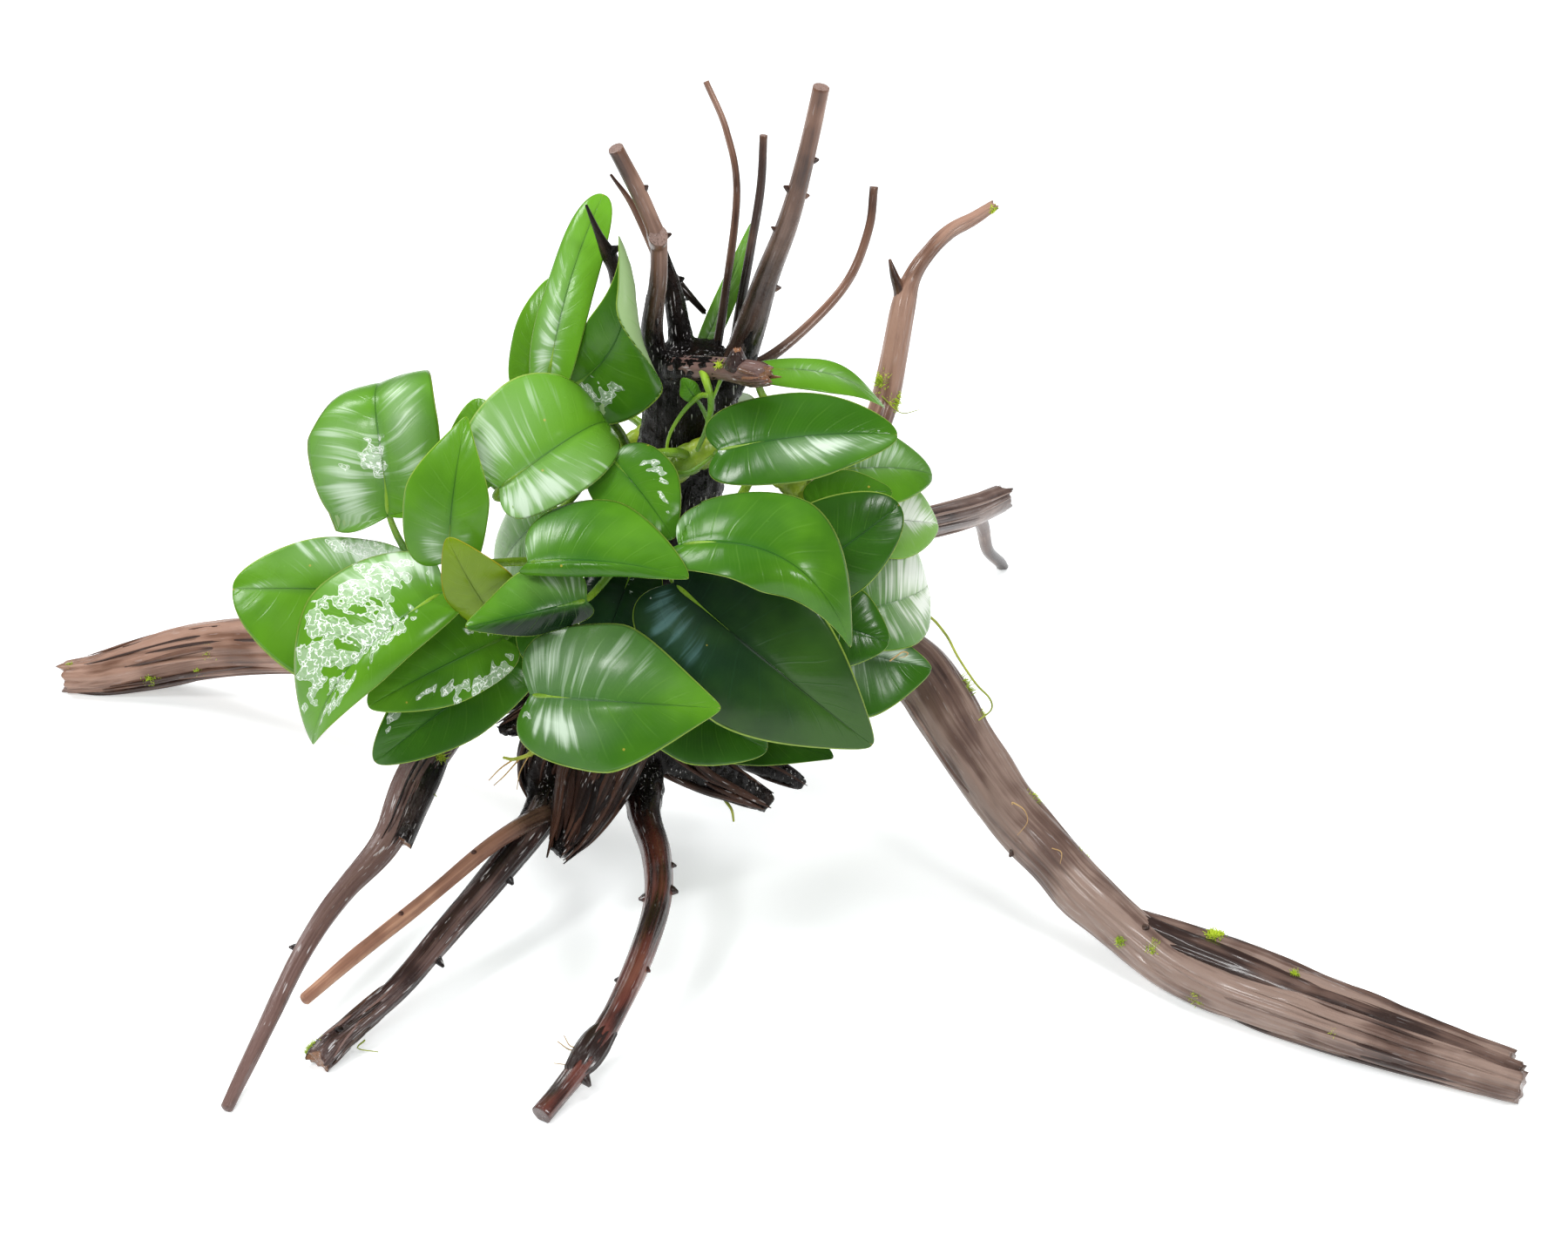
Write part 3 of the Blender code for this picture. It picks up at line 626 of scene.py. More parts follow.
@dataclass(frozen=True)
class SoftFinish:
    """A stem, a root or moss: two colours that change along it."""
    name: str
    light: Colour
    dark: Colour
    roughness: float = 0.45
    scale: float = 60.0
    relief: float = 0.0002

    def build(self) -> bpy.types.Material:
        """The finish's material.

        Returns:
            The material.
        """
        g = Graph(self.name)
        spot = g.add("TexCoord", {}).outputs["Object"]
        tone = g.parts(g.value("mood"))[1]
        cloud = g.fade(g.noise(spot, self.scale, 3), 0.32, 0.68)
        colour = g.mix(g.maths("ADD", cloud, tone, clamp=True), self.dark, self.light)
        g.put(g.shader.inputs["Base Color"], colour)
        gloss = g.maths("MULTIPLY_ADD", g.noise(spot, 500, 1), 0.2, self.roughness - 0.1)
        g.put(g.shader.inputs["Roughness"], gloss)
        g.bump(g.noise(spot, 1100, 2), self.relief)
        return g.material


# Each finish has a lit green and a green in painted shade. The darkest finish is painted shade all
# through, for leaves turned from the light, with a teal painted sheen; the palest is a lighter green
# under a whiter painted sheen, for leaves that catch the light.
LEAF_FINISHES = {
    Slot.LEAF_GREEN: LeafFinish(
        "leaf_green_wax", lit=(0.098, 0.270, 0.012), shade=(0.030, 0.115, 0.006),
        rib=(0.012, 0.075, 0.014), vein=(0.17, 0.36, 0.05)),
    Slot.LEAF_SHADED: LeafFinish(
        "leaf_shaded_wax", lit=(0.030, 0.085, 0.010), shade=(0.0045, 0.020, 0.008),
        rib=(0.0012, 0.008, 0.005), vein=(0.02, 0.07, 0.03), roughness=0.2, sheen_paint=(0.10, 0.20, 0.20)),
    Slot.LEAF_YOUNG: LeafFinish(
        "leaf_young_wax", lit=(0.150, 0.245, 0.006), shade=(0.085, 0.150, 0.004),
        rib=(0.06, 0.11, 0.006), vein=(0.30, 0.38, 0.05), margin=(0.55, 0.38, 0.03)),
    Slot.LEAF_SHEENED: LeafFinish(
        "leaf_sheened_wax", lit=(0.16, 0.36, 0.04), shade=(0.05, 0.17, 0.012),
        rib=(0.05, 0.18, 0.03), vein=(0.40, 0.56, 0.26), roughness=0.2, sheen_paint=(0.84, 0.88, 0.80)),
}
WOOD_FINISHES = {
    Slot.WOOD_DARK: WoodFinish(
        "wood_dark_bark", dark=(0.003, 0.002, 0.0018), middle=(0.010, 0.0055, 0.004),
        light=(0.060, 0.028, 0.018), raw=(0.060, 0.022, 0.012), roughness=0.35, relief=0.0009,
        specular=0.18, glint_share=0.8),
    Slot.WOOD_BROWN: WoodFinish(
        "wood_brown_bark", dark=(0.030, 0.017, 0.014), middle=(0.110, 0.067, 0.053),
        light=(0.245, 0.172, 0.140), raw=(0.26, 0.18, 0.15), roughness=0.4, relief=0.0003,
        specular=0.3, coat=0.35, glint_share=0.15),
    Slot.WOOD_RED: WoodFinish(
        "wood_red_bark", dark=(0.018, 0.007, 0.005), middle=(0.115, 0.030, 0.020),
        light=(0.210, 0.075, 0.046), raw=(0.070, 0.030, 0.024), roughness=0.3, relief=0.0003,
        coat=0.5, glint_share=0.3),
}
DRY_RED = WoodFinish(
    "wood_red_dry", dark=(0.060, 0.026, 0.018), middle=(0.230, 0.112, 0.072),
    light=(0.46, 0.26, 0.165), raw=(0.30, 0.13, 0.07), roughness=0.5, specular=0.3)
WARM_BROWN = WoodFinish(
    "wood_brown_warm", dark=(0.036, 0.016, 0.011), middle=(0.145, 0.072, 0.046),
    light=(0.320, 0.190, 0.138), raw=(0.24, 0.165, 0.14), roughness=0.4, relief=0.0003,
    specular=0.3, coat=0.3, glint_share=0.15)
WET_BROWN = WoodFinish(
    "wood_brown_wet", dark=(0.006, 0.003, 0.003), middle=(0.030, 0.015, 0.013),
    light=(0.150, 0.090, 0.078), raw=(0.26, 0.12, 0.055), roughness=0.3, specular=0.3, coat=0.2,
    glint_share=0.8)
RHIZOME_FINISH = SoftFinish("rhizome_green", (0.36, 0.46, 0.03), (0.13, 0.24, 0.015), 0.35, 70)
STEM_FINISH = SoftFinish("stem_green", (0.24, 0.40, 0.025), (0.07, 0.18, 0.012), 0.3)
ROOT_FINISH = SoftFinish("root_tan", (0.55, 0.36, 0.14), (0.34, 0.20, 0.07), 0.5, 90)
GREEN_ROOT_FINISH = SoftFinish("root_green", (0.44, 0.48, 0.06), (0.20, 0.25, 0.02), 0.4, 90)
MOSS_FINISH = SoftFinish("moss_green", (0.56, 0.70, 0.05), (0.22, 0.34, 0.02), 0.6, 150)


class End(Enum):
    """How a limb ends."""
    CUT = "cut"
    TORN = "torn"
    ROUND = "round"


@dataclass(frozen=True)
class Nub:
    """A short side twig at a share of a limb's length, towards a direction."""
    share: float
    toward: Point
    length: float = 3.0
    radius: float = 1.3
    end: End = End.ROUND


@dataclass(frozen=True)
class Limb:
    """A tapering length of wood along a route of (x, y, z, radius).

    groove is how deep its bark is furrowed near its root and near its end, ridges the fewest and
    the most furrows round it, and soak the length from its root that is soaked black. tone makes it
    lighter or darker, and finish is another finish than its slot's own. raw is how far the wood is
    laid bare, jag how far a torn rim is pushed, in radii, and step the length between two rings.
    """
    route: tuple
    end: End = End.CUT
    groove: tuple[float, float] = (0.25, 0.35)
    soak: float = 30.0
    slot: Slot = Slot.WOOD_BROWN
    nubs: tuple[Nub, ...] = ()
    ridges: tuple[int, int] = (3, 9)
    start: End = End.CUT
    tone: float = 0.0
    finish: WoodFinish | None = None
    raw: float = 0.0
    jag: float = 0.6
    step: float = 1.2


NUB_STEP = 1.2
SIDE_STEP = 0.8
TORN_REACH = 2.5
FINE_SHARE = 0.22
SOAK_START = 0.35
FIBRE_RADII = np.array([0.35, 0.8, 1, 1, 0.9, 0.65, 0.2])
FIBRE_LIFT = np.array([-0.6, 0, 0.1, 0.1, 0.1, 0.1, 0])
FIBRE_STEP = 2.2
FLOOR = 0.0


def end_rows(kind: End) -> tuple[Array, Array]:
    """Shares of the radius for the rings that close an end, from its rim to its middle.

    Args:
        kind: how the limb ends.

    Returns:
        How far each ring stands out from the axis, and how far it moves along it.
    """
    if kind is End.ROUND:
        angle = np.linspace(0.25, 1.35, 5)
        return np.cos(angle), 0.6 * np.sin(angle)
    if kind is End.TORN:
        return np.array([0.86, 0.62, 0.35, 0.12]), np.zeros(4)
    return np.array([0.97, 0.9, 0.6, 0.3]), np.array([0.03, 0.05, 0.05, 0.05])


def limb_surface(limb: Limb, seed: int) -> Surface:
    """A limb's bark: rings carried along its route, furrowed, with its ends cut, torn or rounded.

    The radius at an angle and a length is the route's own, times one plus a few slow waves round
    and along the limb, less sharp furrows where a faster pattern passes through zero. A torn rim
    is pushed along the limb by a pattern of its own, which fades out over two and a half radii.

    Args:
        limb: its sizes.
        seed: the number that its pattern is drawn from.

    Returns:
        The closed surface.
    """
    route, along = even_curve(np.array(limb.route, float), limb.step)
    length = along[-1]
    sides = max(8, int(2 * math.pi * route[:, 3].max() / SIDE_STEP))
    angle = np.arange(sides) * 2 * math.pi / sides
    scale, push = np.ones(len(route)), np.zeros(len(route))
    number = np.arange(len(route))
    first_scale, first_push = end_rows(limb.start)
    last_scale, last_push = end_rows(limb.end)
    number = np.concatenate([np.zeros(len(first_scale), int), number,
                             np.full(len(last_scale), len(route) - 1)])
    scale = np.concatenate([first_scale[::-1], scale, last_scale])
    push = np.concatenate([-first_push[::-1], push, last_push])
    raw = np.full(len(number), limb.raw)
    if limb.end is not End.ROUND:
        raw[-len(last_scale):] = 1
    ahead, across, beside = side_directions(route[:, :3])
    radius = route[number, 3][:, None]
    place = along[number][:, None]
    a, s = np.broadcast_arrays(angle[None, :], place)
    share = s / length
    slow = waves(seed, a, s, (1, 3), 0.05) * 0.05 + waves(seed + 1, a, s, (0, 2), 0.13) * 0.025
    crack = 1 - np.abs(waves(seed + 2, a, s, limb.ridges, 0.035, 5))
    crack = np.clip(crack, 0, 1) ** 4
    fine = waves(seed + 3, a, s, (9, 22), 0.12, 9)
    depth = limb.groove[0] + (limb.groove[1] - limb.groove[0]) * share
    bark = radius * (1 + slow) - depth * crack + depth * FINE_SHARE * fine
    jag = (0.5 * waves(seed + 4, a, s * 0, (2, 5), 0, 4)
           + 0.35 * waves(seed + 5, a, s * 0, (6, 11), 0, 4))
    axial = push[:, None] * radius
    if limb.end is End.TORN:
        reach = TORN_REACH * route[-1, 3]
        hollow = np.where(number == len(route) - 1, scale ** 2, 1)[:, None]
        axial = axial + jag * radius * limb.jag * smoothstep(s, length - reach, length) * hollow
    out = (across[number][:, None] * np.cos(a)[..., None]
           + beside[number][:, None] * np.sin(a)[..., None])
    centre = route[number, :3][:, None]
    grid = centre + out * (bark * scale[:, None])[..., None] + ahead[number][:, None] * axial[..., None]
    caps = np.array([route[0, :3] + ahead[0] * push[0] * route[0, 3],
                     route[-1, :3] + ahead[-1] * push[-1] * route[-1, 3]])
    grain = np.stack([s + 7.0 * seed % 900, np.cos(a) * radius * scale[:, None],
                      np.sin(a) * radius * scale[:, None]], axis=-1) * MM
    soak = smoothstep(s, limb.soak, limb.soak * SOAK_START) if limb.soak else s * 0
    bark_values = np.stack([raw[:, None] + s * 0, soak, s * 0 + limb.tone], axis=-1)
    grid[..., 2] = np.maximum(grid[..., 2], FLOOR)
    caps[:, 2] = np.maximum(caps[:, 2], FLOOR)
    return Surface.rings(grid, tuple(caps), {"grain": grain, "bark": bark_values})


def nub_limb(limb: Limb, nub: Nub) -> Limb:
    """The short twig of a nub: it leaves the limb's middle and tapers outwards.

    Args:
        limb: the limb that it stands on.
        nub: its place and sizes.

    Returns:
        The twig, a little darker than its limb.
    """
    route, _ = even_curve(np.array(limb.route, float), NUB_STEP)
    row = int(nub.share * (len(route) - 1))
    ahead = unit(np.gradient(route[:, :3], axis=0))[row]
    toward = np.array(nub.toward, float)
    out = unit(toward - ahead * (toward @ ahead))
    start, radius = route[row, :3], route[row, 3]
    lean = unit(out + 0.35 * ahead)
    base = start + out * radius * 0.5
    steps = ((0, 1.6), (0.5 * radius, 1.25), (0.5 * radius + 0.4 * nub.length, 0.85),
             (0.5 * radius + 0.7 * nub.length, 0.5))
    line = tuple((*(base + lean * far), nub.radius * wide) for far, wide in steps)
    return Limb(line, nub.end, (0.1, 0.1), 0.0, limb.slot, tone=limb.tone - 0.6)


@dataclass(frozen=True)
class Fibres:
    """Torn fibres along the outside of a limb.

    span is where they start and end, as shares of its length, overhang how far past its end they
    may reach, and toward the side they lie on, if not all round. raw is how far they are laid bare,
    and sink how deep they lie in the bark, in their own radii.
    """
    count: int
    span: tuple[float, float] = (0.0, 1.0)
    overhang: float = 2.5
    radius: tuple[float, float] = (0.5, 1.1)
    toward: Point = (0.0, 0.0, 0.0)
    raw: float = 0.35
    sink: float = 0.25


def fibre_limbs(limb: Limb, fibres: Fibres, seed: int) -> list[Limb]:
    """Thin limbs that lie along another limb's bark, each with its own start, end and wander.

    A fibre stands at an angle round the limb that drifts slowly, at the limb's radius less its sink.
    Its radius and its lift off the bark follow one profile each, as shares of its thickness.

    Args:
        limb: the limb that they lie on.
        fibres: their number, sizes and side.
        seed: the number that they are drawn from.

    Returns:
        The fibres.
    """
    rng = np.random.default_rng(seed)
    route, _ = even_curve(np.array(limb.route, float), 2.0)
    ahead, across, beside = side_directions(route[:, :3])
    last = len(route) - 1
    count = len(FIBRE_RADII)
    strips = []
    for _ in range(fibres.count):
        start = fibres.span[0] + (fibres.span[1] - fibres.span[0]) * rng.uniform(0, 0.6)
        stop = fibres.span[1] - (fibres.span[1] - start) * rng.uniform(0, 0.35)
        rows = np.linspace(start * last, stop * last, count)
        share = rows - rows.astype(int)
        low = np.minimum(rows.astype(int), last - 1)
        line = route[low] + (route[low + 1] - route[low]) * share[:, None]
        angle = rng.uniform(0, 2 * math.pi) + np.linspace(0, rng.normal(0, 0.25), count)
        out = across[low] * np.cos(angle)[:, None] + beside[low] * np.sin(angle)[:, None]
        if any(fibres.toward) and out[0] @ np.array(fibres.toward) < 0:
            out = -out
        thick = rng.uniform(*fibres.radius)
        radius = thick * FIBRE_RADII
        reach = line[:, 3] - thick * fibres.sink + FIBRE_LIFT * thick
        points = line[:, :3] + out * reach[:, None]
        over = rng.uniform(0, 1) ** 2 * fibres.overhang * (stop > 0.85)
        points = points + ahead[low] * (np.linspace(0, 1, count) ** 3 * over)[:, None]
        strip = tuple(map(tuple, np.column_stack([points, radius])))
        strips.append(Limb(strip, End.ROUND, (0.12, 0.12), 0.0, limb.slot, start=End.ROUND,
                           tone=float(rng.uniform(-1, 1)),
                           raw=fibres.raw * float(rng.uniform(0, 1)), step=FIBRE_STEP))
    return strips


STUMP_PARTS = {
    "trunk": Limb(((-44, -30, 34, 20), (-38, -28, 52, 21), (-31, -26, 74, 18), (-25, -25, 96, 16),
                   (-19, -24, 124, 14.5), (-14, -24, 150, 13.5), (-12, -24, 170, 13),
                   (-12, -24, 177, 11))),
    "left_flare": Limb(((-42, -32, 80, 9), (-53, -40, 62, 8.5), (-60, -45, 44, 7), (-60, -50, 36, 4))),
    "torn_chunk": Limb(((-34, -36, 76, 11), (-38, -47, 58, 13), (-43, -56, 46, 11),
                        (-48, -65, 36, 7), (-53, -72, 30, 3)), End.TORN, (1.2, 1.6)),
    "right_flare": Limb(((-34, -28, 66, 13), (-20, -33, 48, 11), (-10, -35, 38, 7),
                         (0, -34, 31, 5), (11, -32, 23, 3.6)), End.TORN, (0.6, 1.2)),
    "stub": Limb(((-10, -26, 46, 5), (4, -22, 33, 3.6), (14, -20, 27, 3.4), (22, -18, 21, 2.4)),
                 End.TORN, (0.4, 0.8)),
    "ragged_knob": Limb(((-50, -34, 66, 5), (-63, -44, 62, 4), (-71, -50, 61, 2.4)),
                        End.TORN, (0.6, 1.0)),
}

FRONT = (0.0, -1.0, 0.4)
UP = (0.0, -0.2, 1.0)
LEFT = (-1.0, 0.0, 0.0)
RIGHT = (1.0, 0.0, 0.0)

LIMBS = {
    "left_branch": Limb(((-34, -14, 58, 9), (-60, 0, 46, 9.5), (-95, 24, 40, 9.5), (-130, 48, 33, 9.3),
                         (-158, 62, 26, 9.2), (-180, 71, 19, 9.2), (-200, 75, 12, 8.8),
                         (-218, 76, 7, 7.4), (-231, 76, 5.5, 5.6)), End.TORN, (0.4, 0.9), 40.0,
                        jag=0.35, tone=0.45, finish=WARM_BROWN),
    "right_leg": Limb(((-30, -26, 70, 11), (0, -20, 76, 11.5), (30, -16, 74, 11.5),
                       (57, -20, 64, 10.6), (72, -36, 48, 9.8), (86, -51, 33, 9),
                       (97, -62, 25, 8.6), (108, -74, 18, 8.4), (119, -85, 13, 8),
                       (132, -98, 8, 7.5), (147, -111, 7, 7.2), (165, -123, 7.5, 7),
                       (186, -135, 7, 6.6), (208, -146, 6, 6), (230, -156, 5, 5.2)),
                      End.TORN, (0.3, 0.8), 62.0, jag=0.2, tone=0.4,
                      nubs=(Nub(0.47, LEFT, 2, 1), Nub(0.62, UP, 2, 1.2))),
    "back_right_branch": Limb(((-16, -22, 92, 7), (4, 0, 98, 6.4), (26, 32, 100, 5.6),
                               (41, 56, 103, 5.1), (48, 68, 112, 4.7), (52, 75, 128, 4.4),
                               (55, 82, 143, 4), (58, 87, 151, 3.1), (63, 90, 158, 2.8),
                               (70, 94, 164, 2.6), (78, 98, 167, 2.3), (85, 102, 170, 1.9)),
                              End.TORN, (0.3, 0.3), 50.0, tone=0.35, jag=0.4,
                              finish=WARM_BROWN),
    "back_leg": Limb(((-24, -18, 52, 7), (0, 8, 58, 6.4), (28, 46, 64, 5.6), (54, 80, 60, 5.2),
                      (67, 98, 54, 5.3), (80, 118, 47, 5.3), (93, 140, 41, 4.6)), End.TORN,
                     (0.3, 0.6), 50.0),
    "front_left_leg": Limb(((-40, -26, 68, 7), (-66, -33, 66, 7), (-82, -39, 62, 6),
                            (-92, -47, 53, 5.8), (-99, -55, 44, 5.6), (-106, -70, 33, 4.6),
                            (-117, -88, 28, 3.4), (-124, -104, 25, 3.1), (-130, -119, 20, 2.9),
                            (-135, -134, 14, 2.7), (-140, -148, 8, 2.3), (-145, -161, 1.5, 1.9)),
                           End.ROUND, (0.4, 0.3), 98.0, tone=0.9, finish=WET_BROWN,
                           nubs=(Nub(0.72, LEFT, 2, 0.9),)),
    "front_leg": Limb(((-46, -32, 50, 8), (-54, -44, 41, 7), (-61, -60, 34, 5.6), (-72, -78, 27, 4.8),
                       (-85, -97, 20, 4.2), (-99, -118, 13, 3.8), (-113, -132, 7, 3.6),
                       (-118, -137, 4.8, 4.4), (-121, -141, 3, 4.4)), End.TORN, (0.5, 0.5), 60.0,
                      finish=WET_BROWN, jag=0.3,
                      nubs=(Nub(0.66, (0.3, -1, -0.6), 3.2, 1.1), Nub(0.4, (1, -0.2, -0.4), 2, 1),
                            Nub(0.93, UP, 1.6, 1.2))),
    "thin_stick": Limb(((-57, -60, 37, 3), (-65, -69, 38, 2.8), (-76, -80, 36, 2.5),
                        (-94, -100, 30, 2.4), (-110, -119, 26, 2.3), (-124, -136, 22, 1.9)),
                       End.ROUND, (0.15, 0.2), 22.0, Slot.WOOD_RED, finish=DRY_RED,
                       nubs=(Nub(0.3, UP, 1.2, 0.8), Nub(0.6, UP, 1.2, 0.8))),
    "centre_leg": Limb(((-32, -34, 48, 7), (-28, -46, 39, 6.4), (-27, -57, 34, 5),
                        (-23, -72, 30, 4.5), (-22, -90, 27, 4.2), (-26, -112, 23, 3.9),
                        (-32, -130, 17, 3.6), (-40, -145, 10, 3.7), (-48, -157, 5, 3.1),
                        (-54, -166, 2.4, 3)), End.CUT, (0.2, 0.2), 62.0, Slot.WOOD_RED,
                       nubs=(Nub(0.42, LEFT, 2.2, 1.2), Nub(0.40, RIGHT, 2.2, 1.2),
                             Nub(0.33, RIGHT, 1.6, 0.9), Nub(0.66, LEFT, 1.3, 0.8),
                             Nub(0.62, RIGHT, 1.2, 0.8), Nub(0.88, (1, -0.4, -0.5), 3.2, 1.4))),
    "broken_stub": Limb(((-13, -26, 172, 4), (-16, -34, 177, 3.9), (-9, -40, 180, 3.5),
                         (-1, -47, 183, 3.4), (7, -54, 185, 4), (11, -57, 186, 3)), End.TORN,
                        (0.3, 0.9), 10.0, tone=0.4, finish=WET_BROWN,
                        nubs=(Nub(0.78, UP, 5.5, 2.4, End.TORN),)),
    "left_shoot": Limb(((-21, -26, 166, 4), (-22, -28, 176, 3.6), (-23, -30, 188, 3.2),
                        (-21, -31, 203, 2.8), (-20.5, -32, 215, 2.6), (-21, -33, 219, 3),
                        (-22, -34, 223, 2.5), (-26, -35, 234, 2.4), (-32, -37, 248, 2.4)),
                       End.CUT, (0.15, 0.15), 56.0, finish=WARM_BROWN,
                       nubs=(Nub(0.62, RIGHT, 2.2, 0.8), Nub(0.83, RIGHT, 1.4, 0.8))),
    "inner_shoot": Limb(((-14, -19, 168, 4), (-15, -18, 180, 3.6), (-17, -17, 194, 2.8),
                         (-20, -16, 206, 1.8)), End.TORN, (0.3, 0.3), 60.0, Slot.WOOD_DARK),
    "splinter_shoot": Limb(((-18, -16, 156, 3), (-30, -14, 172, 2.4), (-33, -20, 190, 2),
                            (-33.5, -28, 205, 2), (-35, -31, 212, 2.2), (-37.5, -33, 219, 1.2),
                            (-41, -34, 229, 0.4)), End.ROUND, (0.15, 0.1), 20.0, Slot.WOOD_DARK,
                           nubs=(Nub(0.8, RIGHT, 3, 1.2),)),
    "thin_shoot_left": Limb(((-6, -21, 166, 1.6), (-2, -13, 188, 1.3), (2, -5, 220, 1.15),
                             (-1, 0, 238, 1.05), (-7, 4, 252, 0.9)), End.CUT, (0.06, 0.06), 50.0,
                            finish=WARM_BROWN),
    "thin_shoot_right": Limb(((0, -15, 166, 1.8), (3, -12, 187, 1.5), (6, -11, 205, 1.4),
                              (9, -10, 224, 1.3), (10, -8, 240, 1.2)), End.CUT, (0.06, 0.06), 56.0,
                             finish=WARM_BROWN),
    "thick_shoot": Limb(((-4, -28, 164, 5.2), (2, -28, 175, 4.9), (6.5, -28.5, 189, 4.4),
                         (11, -29, 204, 3.6), (17.5, -32, 224, 3), (22.5, -35, 245, 2.6),
                         (26.5, -38, 267, 2.3)), End.CUT, (0.2, 0.15), 100.0, tone=0.25,
                        finish=WARM_BROWN,
                        nubs=(Nub(0.37, RIGHT, 1.8, 0.9), Nub(0.55, LEFT, 1.6, 0.7),
                              Nub(0.68, LEFT, 2, 0.9), Nub(0.67, RIGHT, 1.3, 0.8),
                              Nub(0.78, RIGHT, 1.6, 0.8))),
    "bent_shoot": Limb(((-4, -18, 166, 2), (10, -19, 172, 1.7), (24, -10, 180, 1.5),
                        (35.5, 0, 190, 1.4), (41.5, 6, 204, 1.3), (43, 10, 216, 1.3)), End.CUT,
                       (0.08, 0.08), 44.0, tone=0.2, finish=WARM_BROWN),
}

SPURS = {
    "right_leg": (Limb(((122, -83, 13, 4.4), (135, -90, 11, 5.8), (150, -99, 11, 6.2),
                        (168, -112, 11, 5.8), (188, -125, 10, 5.2), (210, -138, 8.5, 4.6),
                        (228, -148, 7.5, 4)), End.TORN, (0.7, 1.3), 0.0, start=End.ROUND, jag=0.25,
                       tone=0.3),
                  Limb(((113, -80, 17, 3.8), (130, -93, 13.5, 5.2), (149, -105, 12, 5.6),
                        (168, -118, 11.5, 5), (190, -131, 10.5, 4.4), (212, -143, 8.5, 4.2),
                        (224, -150, 7.5, 4.2), (230, -153, 6.8, 4.2)), End.TORN, (1.1, 1.2), 0.0,
                       ridges=(6, 14), start=End.ROUND, jag=0.15, tone=-0.3),
                  Limb(((53.4, -44, 68.2, 0.6), (59.3, -50, 61.2, 0.55), (67.0, -58, 51.8, 0.5),
                        (72.5, -62, 46.2, 0.3)), End.ROUND, (0.05, 0.05), 0.0, start=End.ROUND)),
    "back_right_branch": (Limb(((54, 81, 140, 2.6), (54, 83, 147, 2.2), (52, 84, 153, 1.5),
                                (50.5, 85, 158, 0.6)), End.ROUND, (0.1, 0.1), 0.0),),
    "back_leg": (Limb(((82, 122, 46, 3.6), (86, 133, 34, 2.6), (89, 146, 17, 2.2),
                       (95, 161, 3, 2.2), (96, 165, -2, 2.2)), End.CUT, (0.1, 0.1), 0.0),),
    "front_left_leg": (Limb(((-90, -46, 55, 4.2), (-94.5, -53, 47, 5), (-99, -61, 39.5, 5),
                             (-102.5, -69, 33, 4.6)), End.TORN, (0.8, 1.0), 90.0, jag=0.3),),
    "left_shoot": (Limb(((-21, -31.5, 212, 1.6), (-28, -29, 227, 1), (-34, -28, 236, 0.45)),
                        End.ROUND, (0.05, 0.05), 0.0),
                   Limb(((-21, -32, 216, 2.4), (-20.7, -34, 218.5, 2.9), (-20.4, -36.4, 220.6, 2.9)),
                        End.CUT, (0.05, 0.05), 0.0)),
    "centre_leg": (Limb(((-36, -139, 13, 3.4), (-39, -143, 11, 4.5), (-42, -148, 9, 4.4),
                         (-45, -152, 7.4, 3.2)), End.ROUND, (0.9, 0.9), 0.0, Slot.WOOD_RED,
                        start=End.ROUND, tone=-0.6),),
    "inner_shoot": (Limb(((-18.5, -16.5, 201, 1.4), (-14, -13, 193, 1.3), (-8, -10, 184, 0.9)),
                         End.TORN, (0.2, 0.2), 0.0,
                         nubs=(Nub(0.35, UP, 1.2, 0.8), Nub(0.7, LEFT, 1.2, 0.7))),),
}


STUMP_FIBRES = {
    "torn_chunk": Fibres(70, (0.0, 1.0), 5.0, (0.7, 1.7), FRONT, 0.5),
    "right_flare": Fibres(26, (0.25, 1.0), 3.5, (0.5, 1.2)),
    "left_flare": Fibres(16, (0.1, 1.0), 0.0, (0.6, 1.3), FRONT),
    "ragged_knob": Fibres(12, (0.2, 1.0), 3.5, (0.4, 0.9)),
    "stub": Fibres(8, (0.3, 1.0), 1.5, (0.4, 0.8)),
    "trunk": Fibres(60, (0.0, 0.75), 0.0, (0.8, 1.8), FRONT, 0.2, 0.5),
}
FIBRES = {
    "left_branch": Fibres(26, (0.5, 1.0), 1.2, (0.5, 1.3), raw=0.1),
    "right_leg": Fibres(34, (0.62, 1.0), 0.6, (0.5, 1.1), raw=0.05),
    "broken_stub": Fibres(12, (0.72, 1.0), 4.0, (0.4, 1.0), raw=1.0),
    "front_leg": Fibres(16, (0.75, 1.0), 0.8, (0.4, 0.9), raw=0.2),
    "back_right_branch": Fibres(8, (0.0, 0.4), 0.0, (0.4, 0.8)),
    "back_leg": Fibres(14, (0.4, 1.0), 3.0, (0.4, 0.8)),
    "front_left_leg": Fibres(10, (0.2, 0.5), 0.0, (0.4, 0.9), raw=0.0),
}


